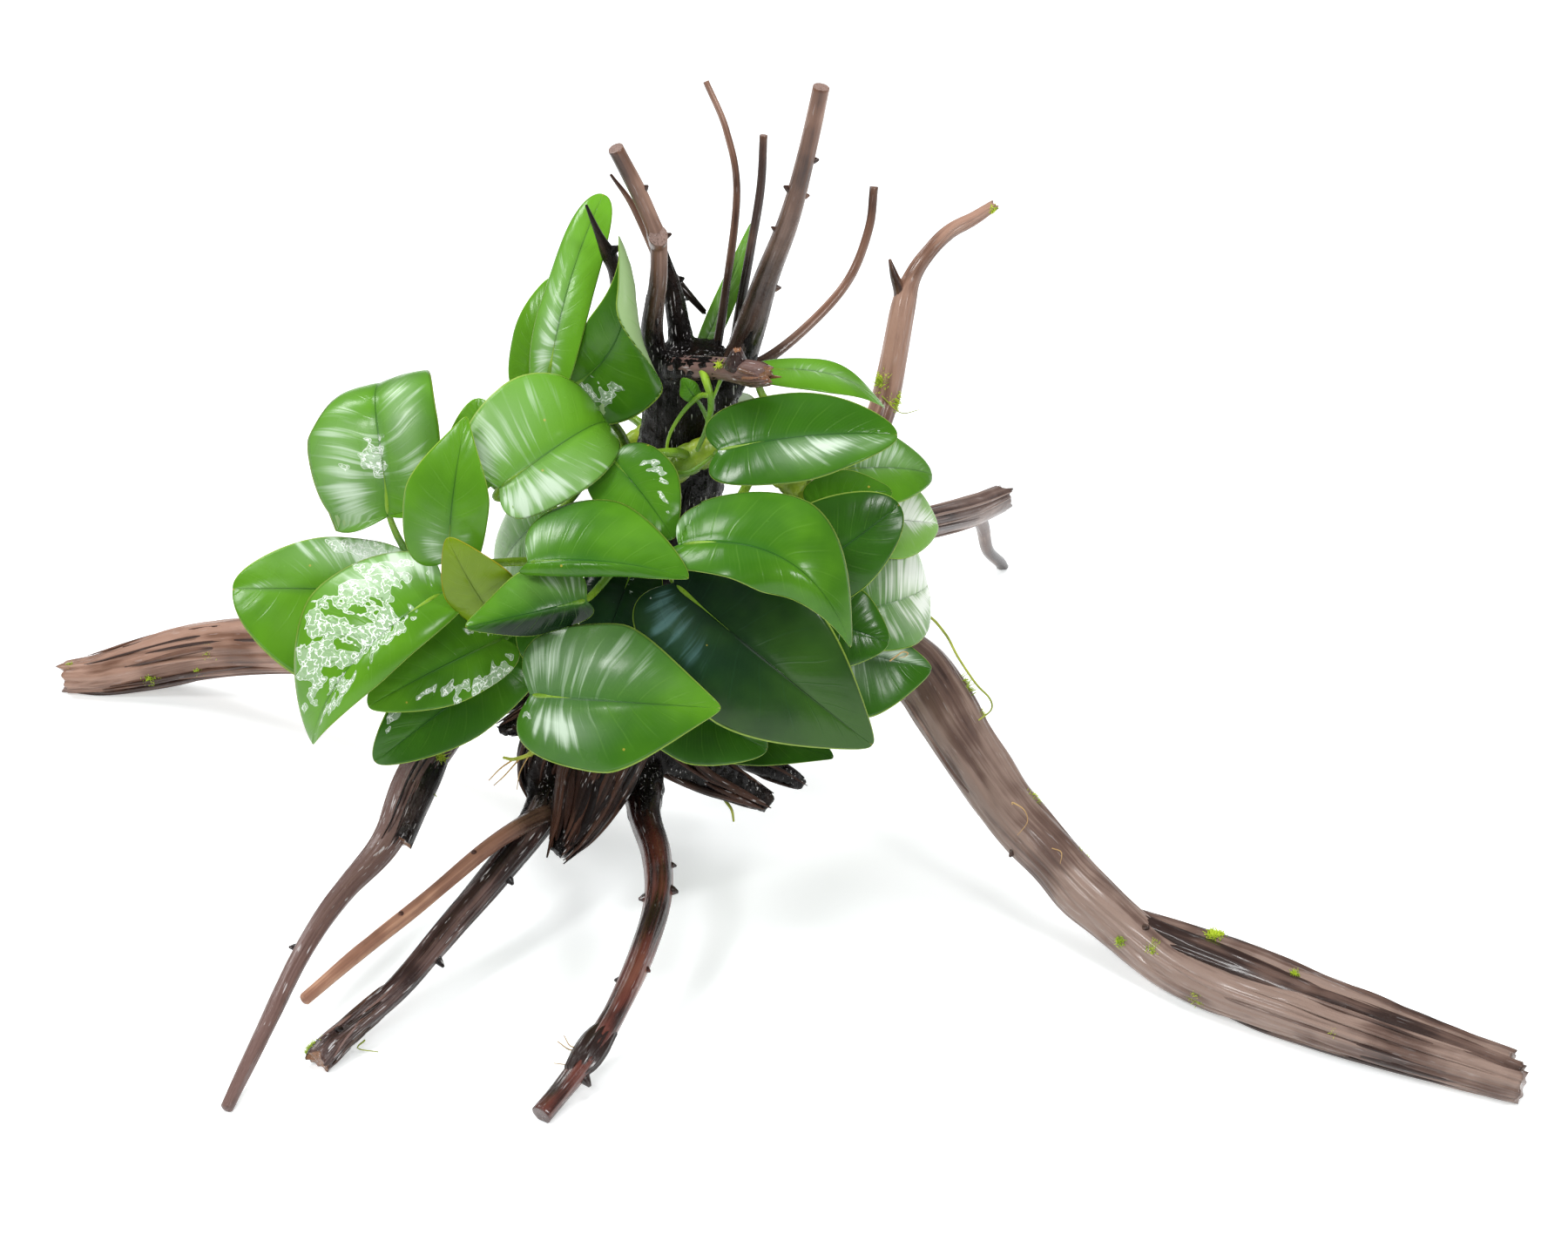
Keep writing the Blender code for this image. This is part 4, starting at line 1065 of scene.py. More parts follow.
@dataclass
class Stump:
    """The trunk with its flares and torn pieces, grown together, and the roots of what forks from it.

    flare and tuck are the radius of a limb's root where it starts and where it dips under the
    limb's own bark, as shares of the limb's radius. The bark is darkest towards dark_side, a
    direction to the left, the front and below, from the middle out to dark_reach.
    """
    voxel: float = 1.1
    smoothing: int = 4
    flare: float = 1.22
    tuck: float = 0.86
    flare_length: float = 34.0
    flare_step: float = 4.0
    furrow: float = 0.55
    furrow_waves: Point = (9, 9, 60)
    rough: float = 0.35
    rough_waves: Point = (4, 4, 9)
    dark_side: Point = (-0.35, -0.9, -1.1)
    dark_reach: float = 26.0
    first_seed: int = 31

    def flares(self) -> list[Limb]:
        """A short swollen root for each limb, which dips under the limb's own bark as it ends.

        The thin stick has none, because it only lies against the leg beside it.

        Returns:
            The roots, in the limbs' order.
        """
        roots = []
        for name, limb in LIMBS.items():
            if name == "thin_stick":
                continue
            route, along = even_curve(np.array(limb.route, float), self.flare_step)
            near = route[along < self.flare_length + 2.2 * route[0, 3]]
            share = np.linspace(0, 1, len(near))
            near[:, 3] *= self.flare + (self.tuck - self.flare) * share
            roots.append(Limb(tuple(map(tuple, near)), End.ROUND))
        return roots

    def fuse(self) -> tuple[Array, Array, Array]:
        """Grow the parts and the limbs' roots together by a fine remesh, and smooth the creases.

        Returns:
            The points, their normals and the faces, each of four points.
        """
        parts = [limb_surface(limb, seed_of(name)) for name, limb in STUMP_PARTS.items()]
        parts += [limb_surface(limb, self.first_seed + k) for k, limb in enumerate(self.flares())]
        mesh = Surface.join(parts).mesh("stump_core")
        guide = bpy.data.objects.new("stump_guide", mesh)
        bpy.context.scene.collection.objects.link(guide)
        fuse = guide.modifiers.new("fuse", "REMESH")
        fuse.mode = "VOXEL"
        fuse.voxel_size = self.voxel * MM
        soften = guide.modifiers.new("soften", "SMOOTH")
        soften.iterations = self.smoothing
        bpy.context.view_layer.update()
        whole = guide.evaluated_get(bpy.context.evaluated_depsgraph_get())
        fused = bpy.data.meshes.new_from_object(whole)
        bpy.data.objects.remove(guide)
        flat = np.empty(len(fused.vertices) * 3, np.float32)
        fused.vertices.foreach_get("co", flat)
        points = flat.reshape(-1, 3).astype(float) / MM
        fused.vertex_normals.foreach_get("vector", flat)
        normals = flat.reshape(-1, 3).astype(float)
        corners = np.empty(len(fused.loops), np.int32)
        fused.loops.foreach_get("vertex_index", corners)
        bpy.data.meshes.remove(fused)
        return points, normals, corners.reshape(-1, 4)

    def build(self, material: bpy.types.Material) -> bpy.types.Object:
        """Furrow the fused trunk and lay its torn fibres on it.

        Each point moves along its normal by the furrows, which run up the trunk, and by a finer
        roughness, both sums of cosines through space.

        Args:
            material: its finish.

        Returns:
            The stump's piece.
        """
        points, normals, faces = self.fuse()
        furrows = 1 - np.abs(solid_waves(3, points, self.furrow_waves))
        lumps = solid_waves(4, points, self.rough_waves)
        points = points + normals * (-self.furrow * np.clip(furrows, 0, 1)[:, None] ** 3
                                     + self.rough * 0.5 * lumps[:, None])
        points[:, 2] = np.maximum(points[:, 2], FLOOR)
        side = smoothstep(points @ unit(np.array(self.dark_side)), 0.0, self.dark_reach)
        soaked = np.ones(len(points))
        values = {"grain": points[:, [2, 0, 1]] * MM,
                  "bark": np.stack([0 * soaked, soaked, -0.3 * side], axis=-1)}
        parts = [Surface(points, faces, np.empty((0, 3), int), values)]
        for name, fibres in STUMP_FIBRES.items():
            strips = fibre_limbs(STUMP_PARTS[name], fibres, seed_of(name))
            parts += [limb_surface(strip, k) for k, strip in enumerate(strips)]
        mesh = Surface.join(parts).mesh("stump_bark")
        return place_piece(mesh, material, ("stump",))


@dataclass
class Driftwood:
    """The stump and every limb that forks from it.

    seed_step is how far apart the seeds of a limb, its spurs, its nubs and its fibres are.
    """
    stump: Stump = field(default_factory=Stump)
    seed_step: int = 17

    def build(self) -> list[bpy.types.Object]:
        """Make the stump, and each limb with its spurs, nubs and fibres.

        Returns:
            The pieces.
        """
        finishes = {finish: finish.build()
                    for finish in (*WOOD_FINISHES.values(), DRY_RED, WARM_BROWN, WET_BROWN)}
        pieces = [self.stump.build(finishes[WOOD_FINISHES[Slot.WOOD_DARK]])]
        for name, limb in LIMBS.items():
            limbs = [limb, *SPURS.get(name, ())]
            limbs += [nub_limb(whole, nub) for whole in limbs[:] for nub in whole.nubs]
            if name in FIBRES:
                limbs += fibre_limbs(limb, FIBRES[name], seed_of(name))
            parts = [limb_surface(part, seed_of(name) + self.seed_step * k)
                     for k, part in enumerate(limbs)]
            mesh = Surface.join(parts).mesh(f"{name}_bark")
            material = finishes[limb.finish or WOOD_FINISHES[limb.slot]]
            pieces.append(place_piece(mesh, material, (name,)))
        return pieces


RHIZOMES = {
    "rhizome_upper": ((-86, -43, 90, 2.6), (-67, -48, 104, 4), (-47, -49, 120, 4.6),
                      (-29, -45, 137, 4.8), (-12, -42, 151, 4.8), (4, -42, 154, 4.8),
                      (18, -41, 143, 4.4), (30, -39, 127, 4), (38, -34, 110, 2.6)),
    "rhizome_lower": ((-66, -50, 84, 2.6), (-48, -53, 90, 4), (-30, -48, 95, 4.6),
                      (-12, -47, 97, 4.6), (8, -46, 94, 4.2), (28, -42, 88, 2.8)),
    "rhizome_back": ((-38, -14, 128, 2.6), (-34, -8, 134, 3.8), (-24, -2, 139, 4.4),
                     (-10, -1, 141, 4.4), (4, -8, 139, 4), (14, -18, 134, 2.6)),
}


def soft_tube(route: Array, step: float, sides: int, tone: float = 0.0,
              waist: float = 0.0, every: float = 5.0) -> Surface:
    """A smooth round tube along a curve, with rings where old leaves stood if it has a waist.

    The radius is the route's own, times one less the waist times a sharp cosine of the length.

    Args:
        route: rows of x, y, z and radius.
        step: the length between two rings.
        sides: the number of sides.
        tone: how light its finish is, from -1 to 1.
        waist: how deep the rings are, as a share of the radius.
        every: the length between two such rings.

    Returns:
        The closed tube.
    """
    line, along = even_curve(np.asarray(route, float), step)
    ahead, across, beside = side_directions(line[:, :3])
    angle = np.arange(sides) * 2 * math.pi / sides
    scale, push = end_rows(End.ROUND)
    number = np.concatenate([np.zeros(len(scale), int), np.arange(len(line)),
                             np.full(len(scale), len(line) - 1)])
    wide = np.concatenate([scale[::-1], np.ones(len(line)), scale])
    shift = np.concatenate([-push[::-1], np.zeros(len(line)), push])
    ringed = 1 - waist * (0.5 + 0.5 * np.cos(2 * math.pi * along[number] / every)) ** 6
    reach = (line[number, 3] * wide * ringed)[:, None, None]
    out = (across[number][:, None] * np.cos(angle)[:, None]
           + beside[number][:, None] * np.sin(angle)[:, None])
    centre = line[number, :3] + ahead[number] * (shift * line[number, 3])[:, None]
    grid = centre[:, None] + out * reach
    mood = np.broadcast_to(np.array([0.0, tone, 0.0]), grid.shape)
    place = np.broadcast_to(np.array([0.5, 0.5, 1.0]), grid.shape)
    caps = (line[0, :3] - ahead[0] * line[0, 3] * 0.6, line[-1, :3] + ahead[-1] * line[-1, 3] * 0.6)
    return Surface.rings(grid, caps, {"mood": mood, "place": place})


@dataclass(frozen=True)
class Leaf:
    """A blade from its base to its tip, on a stem from a point along a rhizome.

    facing is where its upper side looks, in degrees to the right of the viewer and upwards.
    halves are the greatest widths left and right of the midrib. arch and hook raise the midrib and
    sway bends it to the side, as shares of its length. rise and bend, in degrees, are the slope of
    each half where it leaves the midrib and how far it turns down to its margin, and roll is how
    much further it turns near the tip. point narrows each half towards the tip, and neck is the
    angle in degrees between the stem and the blade where they meet. tone and tip_tone make the
    whole and its tip lighter, and so paint light and shade on the leaf along with its own green.
    wet, sheen and shaded list patches of water, with a pale painted sheen and glints in them, of
    pale painted sheen and of painted shade, as (across, t, size, strength).
    """
    stem: tuple[str, float]
    base: Point
    tip: Point
    facing: tuple[float, float]
    halves: tuple[float, float]
    arch: float = 0.1
    hook: float = 0.0
    rise: float = 10.0
    bend: tuple[float, float] = (25, 25)
    roll: tuple[float, float] = (0, 0)
    sway: float = 0.0
    point: tuple[float, float] = (0.4, 0.4)
    neck: float = 50.0
    slot: Slot = Slot.LEAF_GREEN
    tone: float = 0.0
    tip_tone: float = 0.0
    wet: tuple = ()
    sheen: tuple = ()
    shaded: tuple = ()


LEAVES = {
    "leaf_01": Leaf(("rhizome_back", 0.16), (-53, -46, 178), (-37, -12, 223), (-10, 20), (8, 8),
                    bend=(60, 15), sway=-0.02, point=(-0.5, -0.3), tone=0.3, tip_tone=0.4,
                    sheen=((-0.3, 0.4, 0.3, 0.9), (0.1, 0.2, 0.2, 0.8))),
    "leaf_02": Leaf(("rhizome_back", 0.04), (-60, -26, 166), (-53, -14, 197), (-20, 20), (8, 11),
                    tone=0.5),
    "leaf_03": Leaf(("rhizome_back", 0.26), (-47, -39, 173), (-32, -33, 219), (0, 20), (10, 20),
                    sway=0.18, bend=(20, 0), roll=(0, -190), point=(1, 0.2), tone=-0.45,
                    wet=((0.35, 0.2, 0.2, 1.35),)),
    "leaf_04": Leaf(("rhizome_upper", 0.05), (-101, -56, 139), (-103, -14, 161), (-18, 25), (24, 19),
                    arch=0, hook=1.0, sway=0.1, point=(0.6, -0.3), tone=0.1,
                    wet=((-0.1, 0.5, 0.14, 0.9), (-0.5, 0.42, 0.1, 0.6)),
                    sheen=((-0.55, 0.4, 0.25, 1.0), (0.45, 0.6, 0.2, 0.9), (-0.1, 0.5, 0.14, 0.8)),
                    shaded=((0.0, 0.9, 0.3, 0.2),)),
    "leaf_05": Leaf(("rhizome_upper", 0.24), (-81, -83, 139), (-75, -70, 179), (-10, 25), (15, 11),
                    point=(0.7, 0.7), tone=0.15,
                    sheen=((-0.3, 0.25, 0.2, 0.7), (0.4, 0.3, 0.15, 0.5))),
    "leaf_06": Leaf(("rhizome_upper", 0.3), (-71, -44, 143), (-75, -36, 168), (-10, 25), (12, 14),
                    tone=0.6),
    "leaf_07": Leaf(("rhizome_upper", 0.4), (-66, -76, 159), (-36, -45, 164), (0, 35), (24, 15),
                    hook=0.5, point=(0, 0), tone=0.75,
                    sheen=((0.6, 0.3, 0.32, 1.2), (-0.6, 0.3, 0.3, 0.8), (0.3, 0.55, 0.12, 0.6))),
    "leaf_08": Leaf(("rhizome_upper", 0.5), (-34, -62, 161), (-16, -79, 144), (15, 40), (13, 13),
                    point=(0.5, 0.5), tone=-0.35, wet=((-0.6, 0.5, 0.16, 1.0), (-0.5, 0.75, 0.1, 0.9)),
                    sheen=((-0.6, 0.15, 0.15, 0.8),)),
    "leaf_09": Leaf(("rhizome_upper", 0.34), (-57, -95, 145), (-11, -106, 146), (0, 60), (24, 6),
                    bend=(40, 140), point=(0.6, 0.6), tone=-0.35,
                    sheen=((-0.5, 0.15, 0.2, 0.6),)),
    "leaf_11": Leaf(("rhizome_upper", 0.1), (-97, -60, 116), (-147, -66, 120), (-15, 35), (30, 16),
                    arch=0.08, point=(0.2, 0.2), tone=0.0, wet=((0.8, 0.44, 0.15, 1.2),),
                    sheen=((0.7, 0.4, 0.24, 1.6), (0.2, 0.95, 0.15, 0.6))),
    "leaf_12": Leaf(("rhizome_upper", 0.135), (-83, -84, 129), (-122, -98, 86), (-25, 45), (11, 27),
                    arch=0.22, bend=(60, 30), point=(0.6, 0.6), tone=0.2,
                    wet=((0.6, 0.4, 0.22, 1.2), (0.1, 0.6, 0.22, 1.25), (0.6, 0.66, 0.24, 1.2),
                         (-0.5, 0.78, 0.16, 1.2), (-0.2, 0.5, 0.16, 1.0)),
                    sheen=((0.75, 0.25, 0.2, 1.2),)),
    "leaf_13": Leaf(("rhizome_upper", 0.18), (-67, -76, 109), (-106, -90, 94), (-10, 30), (12, 16),
                    arch=0.12, tone=-0.2,
                    wet=((-0.8, 0.4, 0.2, 1.1), (-0.6, 0.6, 0.14, 1.0), (0.3, 0.3, 0.14, 0.7))),
    "leaf_14": Leaf(("rhizome_lower", 0.04), (-63, -59, 95), (-107, -76, 66), (-10, 20), (13, 16),
                    tone=-0.65, wet=((0.85, 0.75, 0.1, 0.8),)),
    "leaf_15": Leaf(("rhizome_upper", 0.28), (-68, -85, 121), (-80, -91, 151), (-5, 15), (9, 12),
                    slot=Slot.LEAF_YOUNG),
    "leaf_16": Leaf(("rhizome_upper", 0.46), (-41, -92, 131), (-75, -104, 129), (-10, 25), (8, 13),
                    rise=-12, bend=(30, 20), point=(0.6, 0.6), tone=-0.1,
                    sheen=((0.6, 0.3, 0.3, 0.5),),
                    shaded=((-0.65, 0.45, 0.5, 2.4),)),
    "leaf_38": Leaf(("rhizome_lower", 0.2), (-56, -60, 108), (-48, -67, 91), (0, 20), (9, 11),
                    tone=-0.9),
    "leaf_17": Leaf(("rhizome_lower", 0.3), (-57, -105, 107), (-2, -119, 111), (0, 30), (24, 21),
                    bend=(50, 25), point=(0.7, 0.7), tone=-0.8, tip_tone=0.95,
                    wet=((0.6, 0.07, 0.09, 1.1), (0.5, 0.2, 0.06, 1.0)),
                    sheen=((-0.5, 0.35, 0.35, 0.6), (0.4, 0.4, 0.16, 1.2), (0.1, 0.15, 0.1, 0.8))),
    "leaf_18": Leaf(("rhizome_lower", 0.75), (-16, -80, 130), (42, -92, 82), (5, 20), (22, 24),
                    point=(0.6, 0.6), slot=Slot.LEAF_SHADED, tone=-0.7, tip_tone=1.6,
                    wet=((0.7, 0.14, 0.1, 0.5),), sheen=((0.45, 0.25, 0.17, 0.95),)),
    "leaf_19": Leaf(("rhizome_lower", 0.5), (-28, -70, 130), (-38, -80, 104), (-10, 20), (12, 13),
                    slot=Slot.LEAF_SHADED, tone=-0.5, wet=((0.0, 0.4, 0.2, 0.4),)),
    "leaf_20": Leaf(("rhizome_lower", 0.62), (-23, -74, 89), (11, -80, 73), (0, 35), (11, 15),
                    tone=-1.1),
    "leaf_21": Leaf(("rhizome_lower", 0.88), (-5, -52, 58), (31, -64, 60), (10, 65), (10, 9),
                    neck=-30, tone=-1.2),
    "leaf_10": Leaf(("rhizome_upper", 0.66), (-14, -92, 149), (35, -107, 124), (15, 55), (22, 12),
                    arch=0.3, sway=-0.08, bend=(30, 20), roll=(0, 90), point=(0.8, 0.8),
                    tone=-0.45, tip_tone=0.2,
                    sheen=((-0.8, 0.12, 0.15, 0.7), (0.8, 0.1, 0.14, 0.7))),
    "leaf_22": Leaf(("rhizome_upper", 0.6), (-3, -62, 164), (49, -58, 167), (0, 50), (15, 14),
                    point=(0.3, 0.3), tone=-0.5, wet=((0.1, 0.1, 0.08, 1.0), (-0.3, 0.95, 0.08, 0.8)),
                    sheen=((0.4, 0.68, 0.18, 1.5), (0.7, 0.85, 0.1, 0.8), (0.1, 0.1, 0.1, 0.7)),
                    shaded=((-0.6, 0.4, 0.5, 0.5),)),
    "leaf_23": Leaf(("rhizome_upper", 0.72), (10, -38, 178), (46, -26, 160), (-20, 70), (6, 8),
                    arch=0.14, tone=0.1, sheen=((0.0, 0.7, 0.3, 0.6),)),
    "leaf_24": Leaf(("rhizome_upper", 0.8), (15, -66, 120), (50, -56, 143), (10, 25), (17, 14),
                    point=(0.1, 0.1), tone=-1.1),
    "leaf_25": Leaf(("rhizome_upper", 0.95), (38, -50, 103), (60, -24, 98), (20, 25), (20, 15),
                    arch=0.2, point=(0.2, 0.2), slot=Slot.LEAF_SHEENED, tone=-0.8, tip_tone=1.6,
                    sheen=((-0.4, 0.8, 0.35, 1.7), (0.4, 0.78, 0.3, 1.6))),
    "leaf_26": Leaf(("rhizome_upper", 0.9), (25, -68, 112), (47, -70, 104), (15, 30), (12, 13),
                    tone=-0.8),
    "leaf_27": Leaf(("rhizome_lower", 0.96), (29, -50, 90), (61, -48, 82), (20, 35), (9, 19),
                    point=(0.6, 0.6), tone=-0.9, sheen=((-0.4, 0.7, 0.25, 1.5), (0.3, 0.4, 0.2, 1.0))),
    "leaf_28": Leaf(("rhizome_upper", 0.76), (30, -40, 146), (61, -22, 135), (20, 50), (14, 12),
                    tone=0.1,
                    sheen=((-0.3, 0.6, 0.3, 0.9),)),
    "leaf_29": Leaf(("rhizome_upper", 0.88), (38, -40, 129), (63, -22, 118), (30, 35), (13, 12),
                    slot=Slot.LEAF_SHEENED, tone=-0.3, tip_tone=1.4,
                    sheen=((-0.2, 0.75, 0.4, 1.6),)),
    "leaf_30": Leaf(("rhizome_upper", 0.83), (24, -50, 139), (48, -46, 142), (10, 50), (9, 9),
                    tone=-0.3),
    "leaf_31": Leaf(("rhizome_back", 0.76), (-10, -7, 168), (6, 1, 208), (-25, 15), (3, 4),
                    sway=0.06, neck=65, tone=0.5, sheen=((0.0, 0.5, 0.5, 0.5),)),
    "leaf_32": Leaf(("rhizome_upper", 0.56), (-10, -46, 173), (-14, -43, 178), (-10, 30), (3, 3)),
    "leaf_33": Leaf(("rhizome_back", 0.1), (-56, -14, 118), (-74, 2, 82), (-60, 30), (16, 16),
                    sheen=((0.4, 0.4, 0.3, 0.6),)),
    "leaf_34": Leaf(("rhizome_back", 0.38), (-36, 12, 142), (-54, 38, 106), (-150, 40), (17, 16),
                    tone=0.1, sheen=((-0.4, 0.4, 0.3, 0.6),)),
    "leaf_35": Leaf(("rhizome_back", 0.56), (-12, 18, 142), (-6, 48, 104), (180, 35), (17, 18),
                    tone=-0.2, wet=((0.4, 0.3, 0.2, 0.8),)),
    "leaf_36": Leaf(("rhizome_back", 0.9), (14, 6, 142), (34, 34, 112), (150, 40), (15, 16),
                    tone=0.1, wet=((0.3, 0.5, 0.2, 0.8),)),
    "leaf_37": Leaf(("rhizome_upper", 0.99), (44, -16, 104), (56, 8, 74), (120, 35), (14, 14),
                    tone=-0.2),
}


@dataclass
class Foliage:
    """The leaves: each a blade and its stem in one piece, which springs from a rhizome.

    lobe is how far the two halves reach back past the base, as a share of the blade's length.
    thickness and rim are the blade's own at the midrib and at the margin. A stem's radius is
    stem_share of its blade's width, but not more than stem_radius, times stem_spread at its foot.
    quilt is how far the blade swells between its veins, ruffle how far its margin waves, and
    groove how deep its midrib lies.
    """
    lobe: float = 0.09
    thickness: float = 0.7
    rim: float = 0.22
    rows: int = 84
    columns: int = 21
    stem_radius: float = 1.25
    stem_spread: float = 1.25
    stem_share: float = 0.12
    stem_reach: float = 0.38
    stem_step: float = 1.6
    stem_sides: int = 12
    stem_tone: float = -0.1
    rib_sink: float = 0.55
    quilt: float = 0.07
    ruffle: float = 0.5
    groove: float = 0.4
    veins: float = 11.0

    def outline(self, t: Array, point: Array) -> tuple[Array, Array]:
        """Half width and height of the margin at t.

        The height is ((1 - cos(pi t)) / 2)^1.35 less a low hump near the base, where the halves
        reach back, and the half width is sin(pi t), narrowed towards the tip by point.

        Args:
            t: places along the margin, 0 at the base and 1 at the tip.
            point: how far each place's half is narrowed.

        Returns:
            The half width as a share of the widest, and the height as a share of the length.
        """
        near = np.clip(t / 0.45, 0, 1)
        height = ((1 - np.cos(math.pi * t)) / 2) ** 1.35 - self.lobe * 4 * near * (1 - near)
        narrowing = 1 - point * np.clip((height - 0.45) / 0.55, 0, 1) ** 1.5
        return np.sin(math.pi * t) * narrowing, height

    def directions(self, leaf: Leaf) -> tuple[Array, Array, Array, float]:
        """How a blade stands in space.

        Args:
            leaf: the leaf.

        Returns:
            The blade's axis, its upper side's direction, its right side and its length.
        """
        chord = np.array(leaf.tip, float) - np.array(leaf.base, float)
        length = float(np.linalg.norm(chord))
        axis = chord / length
        turn, lift = (math.radians(a) for a in leaf.facing)
        facing = np.array([math.sin(turn) * math.cos(lift), -math.cos(turn) * math.cos(lift),
                           math.sin(lift)])
        normal = unit(facing - axis * (facing @ axis))
        return axis, normal, np.cross(axis, normal), length

    def midrib(self, leaf: Leaf, y: Array) -> Array:
        """Points of the midrib at shares y of the length.

        It rises by arch times 4y(1 - y), which goes on straight behind the base, plus hook times
        y - y^3, and sways to the side by sway times 4y(1 - y).

        Args:
            leaf: the leaf.
            y: shares of the length, of any shape.

        Returns:
            The points.
        """
        axis, normal, side, length = self.directions(leaf)
        inside = np.clip(y, 0, 1)
        bow = 4 * inside * (1 - inside) + 4 * np.minimum(y, 0)
        rise = leaf.arch * bow + leaf.hook * (inside - inside ** 3)
        sway = leaf.sway * 4 * inside * (1 - inside)
        return np.array(leaf.base, float) + length * (
            np.multiply.outer(y, axis) + np.multiply.outer(rise, normal) + np.multiply.outer(sway, side))

    def frame(self, leaf: Leaf, y: Array) -> tuple[Array, Array, Array]:
        """Directions along, across and out of the blade on its midrib.

        Args:
            leaf: the leaf.
            y: shares of the length, of any shape.

        Returns:
            The three directions at each share.
        """
        step = 0.001
        side = self.directions(leaf)[2]
        along = unit(self.midrib(leaf, y + step) - self.midrib(leaf, y - step))
        across = unit(side - along * (along @ side)[..., None])
        return along, across, np.cross(across, along)

    def surface(self, leaf: Leaf, t: Array, v: Array) -> Array:
        """Points of the blade's middle, with t along the margin and v from left edge to right.

        A vein's line of constant t leaves the midrib at the share t^1.9 and ends at the margin's
        height. Across it each half is an arc that leaves the midrib at the rise angle and turns
        down by the bend angle, and by the roll angle towards the tip.

        Args:
            leaf: the leaf.
            t: places along the margin.
            v: places across, -1 to 1.

        Returns:
            The points.
        """
        t, v = np.broadcast_arrays(t, v)
        half_width, height = self.outline(t, np.where(v < 0, *leaf.point))
        start = t ** 1.9
        y = start + (height - start) * np.abs(v) ** 1.3
        _, across, out = self.frame(leaf, y)
        near_tip = smoothstep(y, 0.25, 0.7)
        rise = math.radians(leaf.rise)
        turns = [np.radians(bend * half_width + roll * near_tip) + 1e-4
                 for bend, roll in zip(leaf.bend, leaf.roll)]
        turn = np.where(v < 0, *turns)
        slope = rise - turn * np.abs(v)
        half = np.where(v < 0, -leaf.halves[0], leaf.halves[1])
        x = half_width * (math.sin(rise) - np.sin(slope)) / turn
        lift = half_width * (np.cos(slope) - math.cos(rise)) / turn
        return (self.midrib(leaf, y) + across * (x * half)[..., None]
                + out * (lift * np.abs(half))[..., None])

    def relief(self, t: Array, v: Array, seed: int) -> Array:
        """How far the blade swells, in millimetres.

        It dips along the midrib, swells by a cosine between the veins, where t^1.3 times their
        number is a whole number, and waves at the margin.

        Args:
            t: places along the margin.
            v: places across, -1 to 1.
            seed: the number that the waves at the margin are drawn from.

        Returns:
            The swelling at each place.
        """
        rng = np.random.default_rng(seed)
        phase = rng.uniform(0, 2 * math.pi, 3)
        away = np.abs(v)
        count = self.veins * t ** 1.3 + 0.45 * (v > 0) + 0.25
        swell = -self.quilt * np.cos(2 * math.pi * count)
        swell = swell * smoothstep(away, 0.05, 0.3) * (1 - away ** 3)
        wave = self.ruffle * away ** 3 * (np.cos(9 * t + phase[0] + (v > 0) * phase[1])
                                          + 0.5 * np.cos(17 * t + phase[2]))
        dip = -self.groove * np.exp(-(away / 0.06) ** 2) * (1 - 0.7 * t)
        return (swell + wave + dip) * np.sin(math.pi * t) ** 0.5

    def patches(self, spots: tuple, t: Array, v: Array) -> Array:
        """The strength of some patches, each a round bell over across and t.

        Args:
            spots: rows of across, t, size and strength.
            t: places along the margin.
            v: places across, -1 to 1.

        Returns:
            The greatest of them at each place.
        """
        total = np.zeros(t.shape)
        for across, far, size, strength in spots:
            bell = np.exp(-((v - across) / (1.5 * size)) ** 2 - ((t - far) / size) ** 2)
            total = np.maximum(total, strength * bell)
        return total

    def blade(self, name: str, leaf: Leaf) -> Surface:
        """The closed blade: rings round its upper and lower sides, from base to tip.

        Args:
            name: the leaf's name.
            leaf: the leaf.

        Returns:
            The blade.
        """
        t = 0.5 - 0.5 * np.cos(math.pi * np.linspace(0.0, 1.0, self.rows + 2)[1:-1])
        t = (0.6 * t + 0.4 * np.linspace(0, 1, self.rows + 2)[1:-1])[:, None]
        v = np.sin(np.linspace(-1, 1, self.columns) * math.pi / 2)[None, :]
        v = 0.5 * v + 0.5 * np.linspace(-1, 1, self.columns)[None, :]
        t, v = np.broadcast_arrays(t, v)
        middle = self.surface(leaf, t, v)
        step = 0.002
        up = self.surface(leaf, t + step * 0.5, v) - self.surface(leaf, t - step * 0.5, v)
        over = self.surface(leaf, t, v + step) - self.surface(leaf, t, v - step)
        out = unit(np.cross(over, up))
        middle = middle + out * self.relief(t, v, seed_of(name))[..., None]
        half = (self.thickness - self.rim) / 2 * (1 - v ** 2) + self.rim / 2 * (1 - v ** 8)
        top = middle + out * half[..., None]
        bottom = (middle - out * half[..., None])[:, 1:-1][:, ::-1]
        flat = np.zeros(t.shape)
        place = np.concatenate([np.stack([v, t, flat], -1),
                                np.stack([v, t, flat + 1], -1)[:, 1:-1][:, ::-1]], axis=1)
        # The tone paints light and shade on the blade, darker still in its patches of painted shade; the
        # mood also holds its wet patches and its painted sheen, which the lower side doesn't get.
        tone = leaf.tone + leaf.tip_tone * t ** 2 - self.patches(leaf.shaded, t, v)
        mood = np.stack([self.patches(leaf.wet, t, v), tone, self.patches(leaf.sheen, t, v)], -1)
        mood = np.concatenate([mood, mood[:, 1:-1][:, ::-1] * (0, 1, 0)], axis=1)
        start = self.surface(leaf, np.array(0.0), np.array(0.0))
        stop = self.surface(leaf, np.array(1.0), np.array(0.0))
        grid = np.concatenate([top, bottom], axis=1)
        return Surface.rings(grid[:, ::-1], (start, stop),
                             {"mood": mood[:, ::-1], "place": place[:, ::-1]})

